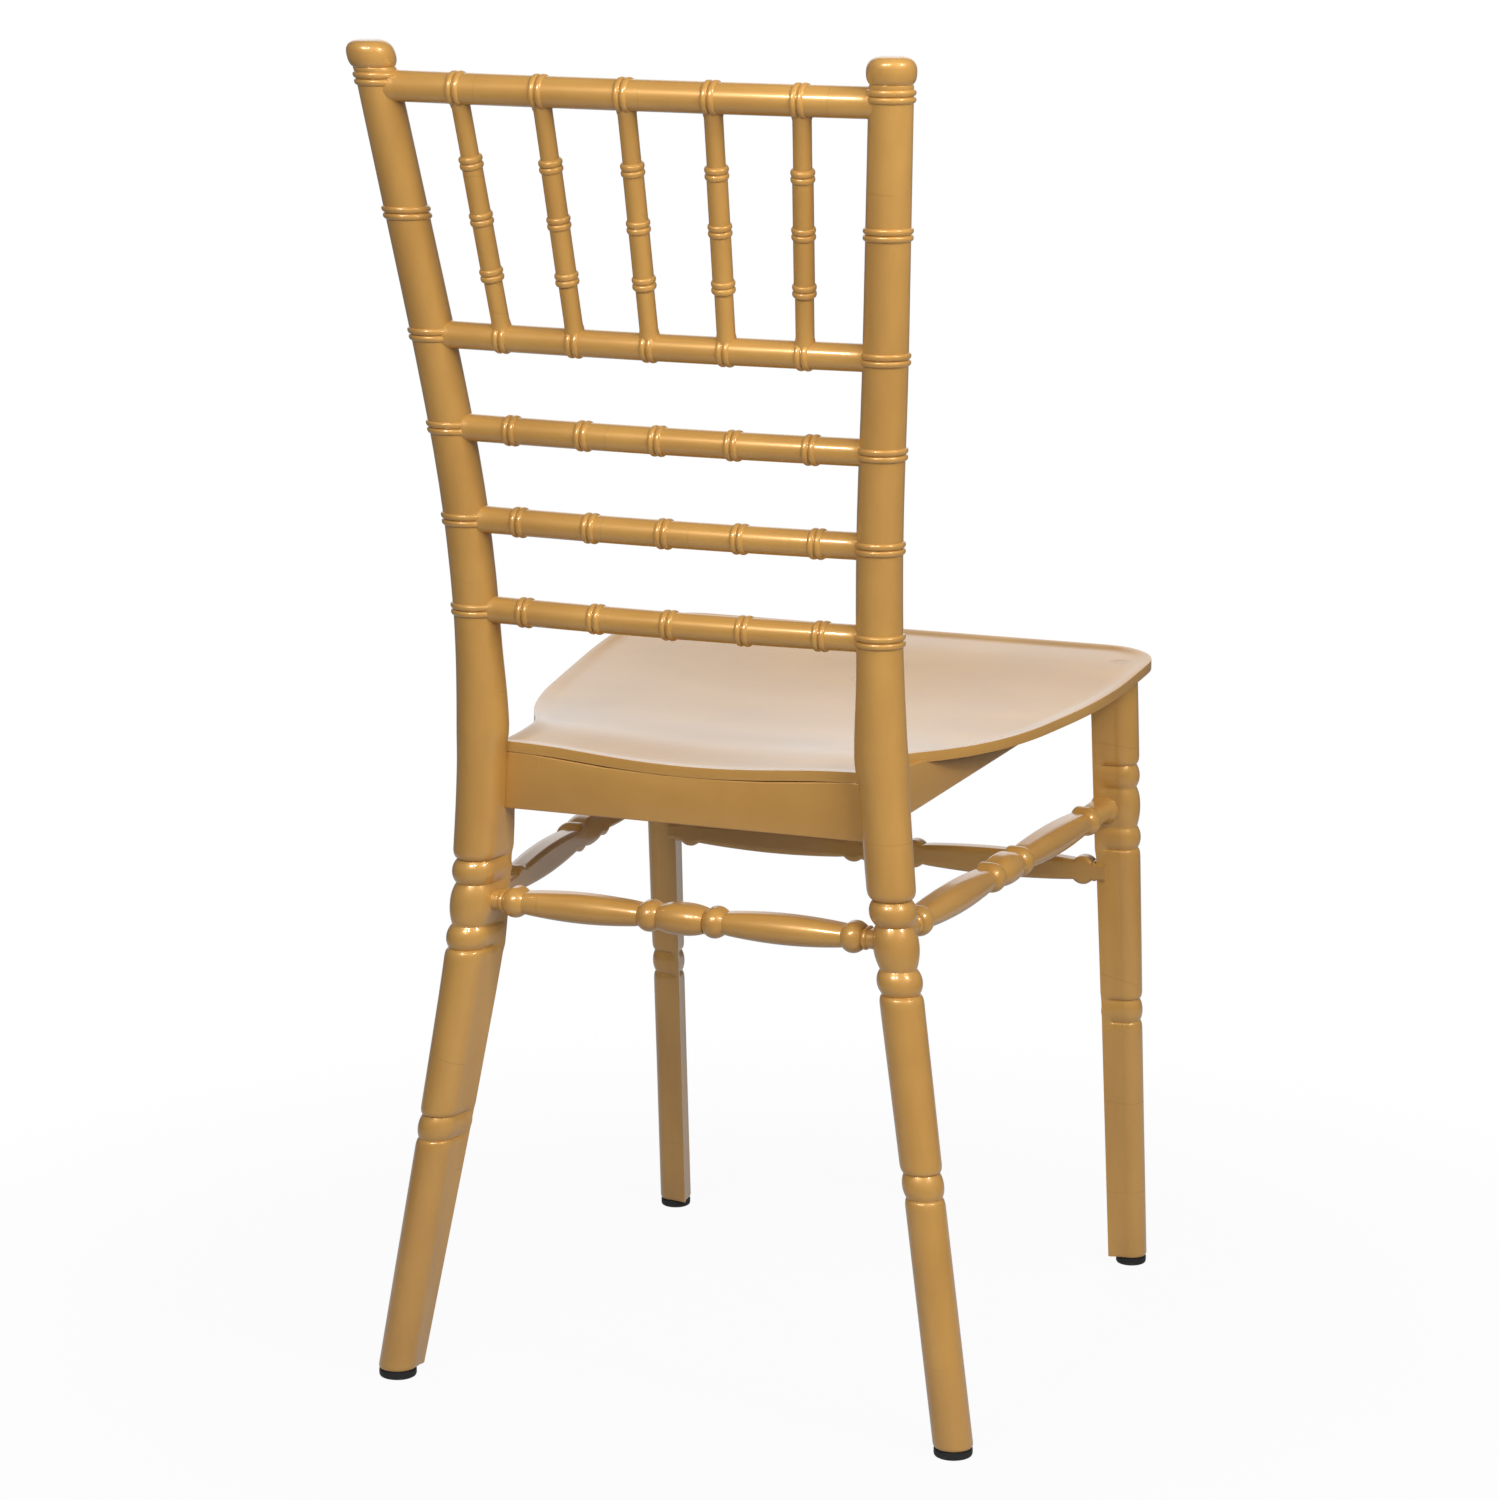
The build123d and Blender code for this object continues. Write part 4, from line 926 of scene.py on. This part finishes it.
crest = rail("crest_rail_turned", CREST_Z, CREST_RADIUS, CREST_PITCH)
dress(crest, "crest_rail", rail_gold)
for node, rail_z in (("spindle_rail", SPINDLE_RAIL_Z), *LADDER_Z.items()):
    dress(rail(f"{node}_turned", rail_z, RAIL_RADIUS, RAIL_PITCH), node, rail_gold)
for number, step in enumerate(reversed(COLLAR_STEPS), start=1):
    dress(spindle(f"spindle_{number}_turned", step), f"spindle_{number}", upright_gold)

rear_at, front_at = post_point(REAR_STRETCHER_Z), front_point(FRONT_STRETCHER_Z)
rear_bar = stretcher(
    "rear_stretcher_turned", rear_at, across_chair(rear_at), -REARWARD,
    REAR_STRETCHER_INSET, (REAR_LEG_FLAT, REAR_LEG_FLAT), PLAIN_NECK,
)
dress(rear_bar, "rear_stretcher", rail_gold)
front_bar = stretcher(
    "front_stretcher_turned", front_at, across_chair(front_at), REARWARD,
    FRONT_STRETCHER_INSET, (FRONT_LEG_FLAT, FRONT_LEG_FLAT), PLAIN_NECK,
)
dress(front_bar, "front_stretcher", rail_gold)
side_bar = stretcher(
    "left_stretcher_turned", post_point(SIDE_STRETCHER_REAR_Z), front_point(SIDE_STRETCHER_FRONT_Z), -LEFT,
    SIDE_STRETCHER_INSET, (REAR_LEG_FLAT, FRONT_LEG_SIDE_FLAT), SIDE_NECK,
)
dress_pair(side_bar, "stretcher", side_gold)

dress(seat_piece(), "seat", seat_gold)
for node, inward in (("rear_apron", 0), ("left_apron", -1), ("right_apron", 1)):
    dress(eased_board(node, f"{node}_eased", inward), node, board_gold)

rear_end = ("rear", post_point, REAR_GLIDE_RADIUS)
front_end = ("front", front_point, FRONT_GLIDE_RADIUS)
for end, point, radius in (rear_end, front_end):
    left_glide = glide(f"left_{end}_foot_turned", point, radius)
    dress_pair(left_glide, f"{end}_foot", glide_black)


# Studio

TOWARD_CAMERA = Vector((-0.3772, 0.9012, 0.2137))
LOOK_AT = Vector((0.0, 0.04304, 0.42817))
CAMERA_DISTANCE = 3.39724
SENSOR_WIDTH, FOCAL_PIXELS, IMAGE_PIXELS = 36, 5008.94, 1500

bpy.ops.object.select_all(action="DESELECT")
bpy.ops.object.camera_add(location=LOOK_AT + TOWARD_CAMERA.normalized() * CAMERA_DISTANCE)
camera = bpy.context.active_object
camera.rotation_euler = TOWARD_CAMERA.to_track_quat("Z", "Y").to_euler()
camera.data.lens = SENSOR_WIDTH * FOCAL_PIXELS / IMAGE_PIXELS
camera.data.sensor_width = SENSOR_WIDTH
camera.data.clip_end = 200
bpy.context.scene.camera = camera


def softbox(name, azimuth, elevation, distance, width, height, watts, in_reflections=True):
    """Area lamp aimed at the chair; azimuth is counted from the camera, to the right."""
    turn_by = atan2(TOWARD_CAMERA.y, TOWARD_CAMERA.x) + radians(azimuth)
    flat = cos(radians(elevation))
    toward = Vector((cos(turn_by) * flat, sin(turn_by) * flat, sin(radians(elevation))))
    bpy.ops.object.light_add(type="AREA", location=LOOK_AT + toward * distance)
    lamp = bpy.context.active_object
    lamp.name = name
    lamp.rotation_euler = toward.to_track_quat("Z", "Y").to_euler()
    lamp.data.shape = "RECTANGLE"
    lamp.data.size = width
    lamp.data.size_y = height
    lamp.data.energy = watts
    lamp.visible_glossy = in_reflections


softbox("left_softbox", -31, 38, 2.3, 0.36, 0.24, 17)
softbox("left_softbox_second", -11, 42, 2.3, 0.16, 0.22, 8)
softbox("right_softbox", 50, 38, 2.4, 0.24, 0.22, 12)
softbox("front_softbox", 165, 40, 2.4, 1.2, 1.2, 10, in_reflections=False)
softbox("broad_softbox", 34, 36, 1.9, 1.1, 1.1, 27, in_reflections=False)

# White paper under and behind the chair, in a darker room
LEVEL_TOWARD = (TOWARD_CAMERA * Vector((1, 1, 0))).normalized()
LEVEL_RIGHT = LEVEL_TOWARD.cross(-UP)
PAPER_MIDDLE = Vector((-LEVEL_TOWARD.x, -LEVEL_TOWARD.y, 0.16)).normalized()
WHITE = (1, 1, 1, 1)
ROOM = (0.14, 0.14, 0.14, 1)
NEAR_PAPER = (0.42, 0.42, 0.42, 1)
FILL = (0.28, 0.28, 0.28, 1)
SHEET_DARK, SHEET_PALE = (0.34, 0.34, 0.34, 1), (0.38, 0.38, 0.38, 1)
PAPER_WIDTH_SQUARED, PAPER_LENGTH = (0.4, 1.4), (0.5, 1.3)
SHADOW_SHARE, SHADOW_INNER, SHADOW_OUTER = 0.05, 0.35, 0.9
BACKDROP_EDGE, BACKDROP_FULL = 0.88, 0.97

bpy.ops.object.select_all(action="DESELECT")
bpy.ops.mesh.primitive_plane_add(size=80)
floor = bpy.context.active_object
floor.name = "studio_floor"
paper = Finish(bpy.data.materials.new("studio_paper"))
spot = paper.node("ShaderNodeTexCoord", None, None, "Object")
grain = paper.noise(spot, 60.0, 2.0)
sheet = paper.node("ShaderNodeBsdfDiffuse", None, {"Color": paper.blend(grain, SHEET_DARK, SHEET_PALE)})
seen = paper.light_path("Is Camera Ray")
sideways = paper.along(spot, LEVEL_RIGHT)
in_width = 1 - paper.ease(sideways * sideways, *PAPER_WIDTH_SQUARED)
in_length = 1 - paper.ease(paper.along(spot, LEVEL_TOWARD), *PAPER_LENGTH)
glow_white = paper.blend(seen, paper.blend(in_width * in_length, ROOM, NEAR_PAPER), WHITE)
glow = paper.node("ShaderNodeEmission", None, {"Color": glow_white, "Strength": 1.0})
away = paper.node("ShaderNodeVectorMath", {"operation": "LENGTH"}, {0: spot}, "Value")
white = 1 - SHADOW_SHARE + paper.ease(away, SHADOW_INNER, SHADOW_OUTER) * SHADOW_SHARE
glowing = seen * white + paper.mirrored()
paper.surface(paper.node("ShaderNodeMixShader", None, {0: glowing, 1: sheet, 2: glow}))
floor.data.materials.append(paper.owner)

studio = Finish(bpy.data.worlds.new("studio"))
bpy.context.scene.world = studio.owner
heading = studio.node("ShaderNodeTexCoord", None, None, "Generated")
on_backdrop = studio.ease(studio.along(heading, PAPER_MIDDLE), BACKDROP_EDGE, BACKDROP_FULL)
around = studio.blend(studio.mirrored(), FILL, studio.blend(on_backdrop, ROOM, WHITE))
sky_colour = studio.blend(studio.light_path("Is Camera Ray"), around, WHITE)
sky = studio.node("ShaderNodeBackground", None, {"Color": sky_colour, "Strength": 1.0})
studio.node("ShaderNodeOutputWorld", None, {"Surface": sky})
bpy.context.scene.view_settings.view_transform = "Standard"
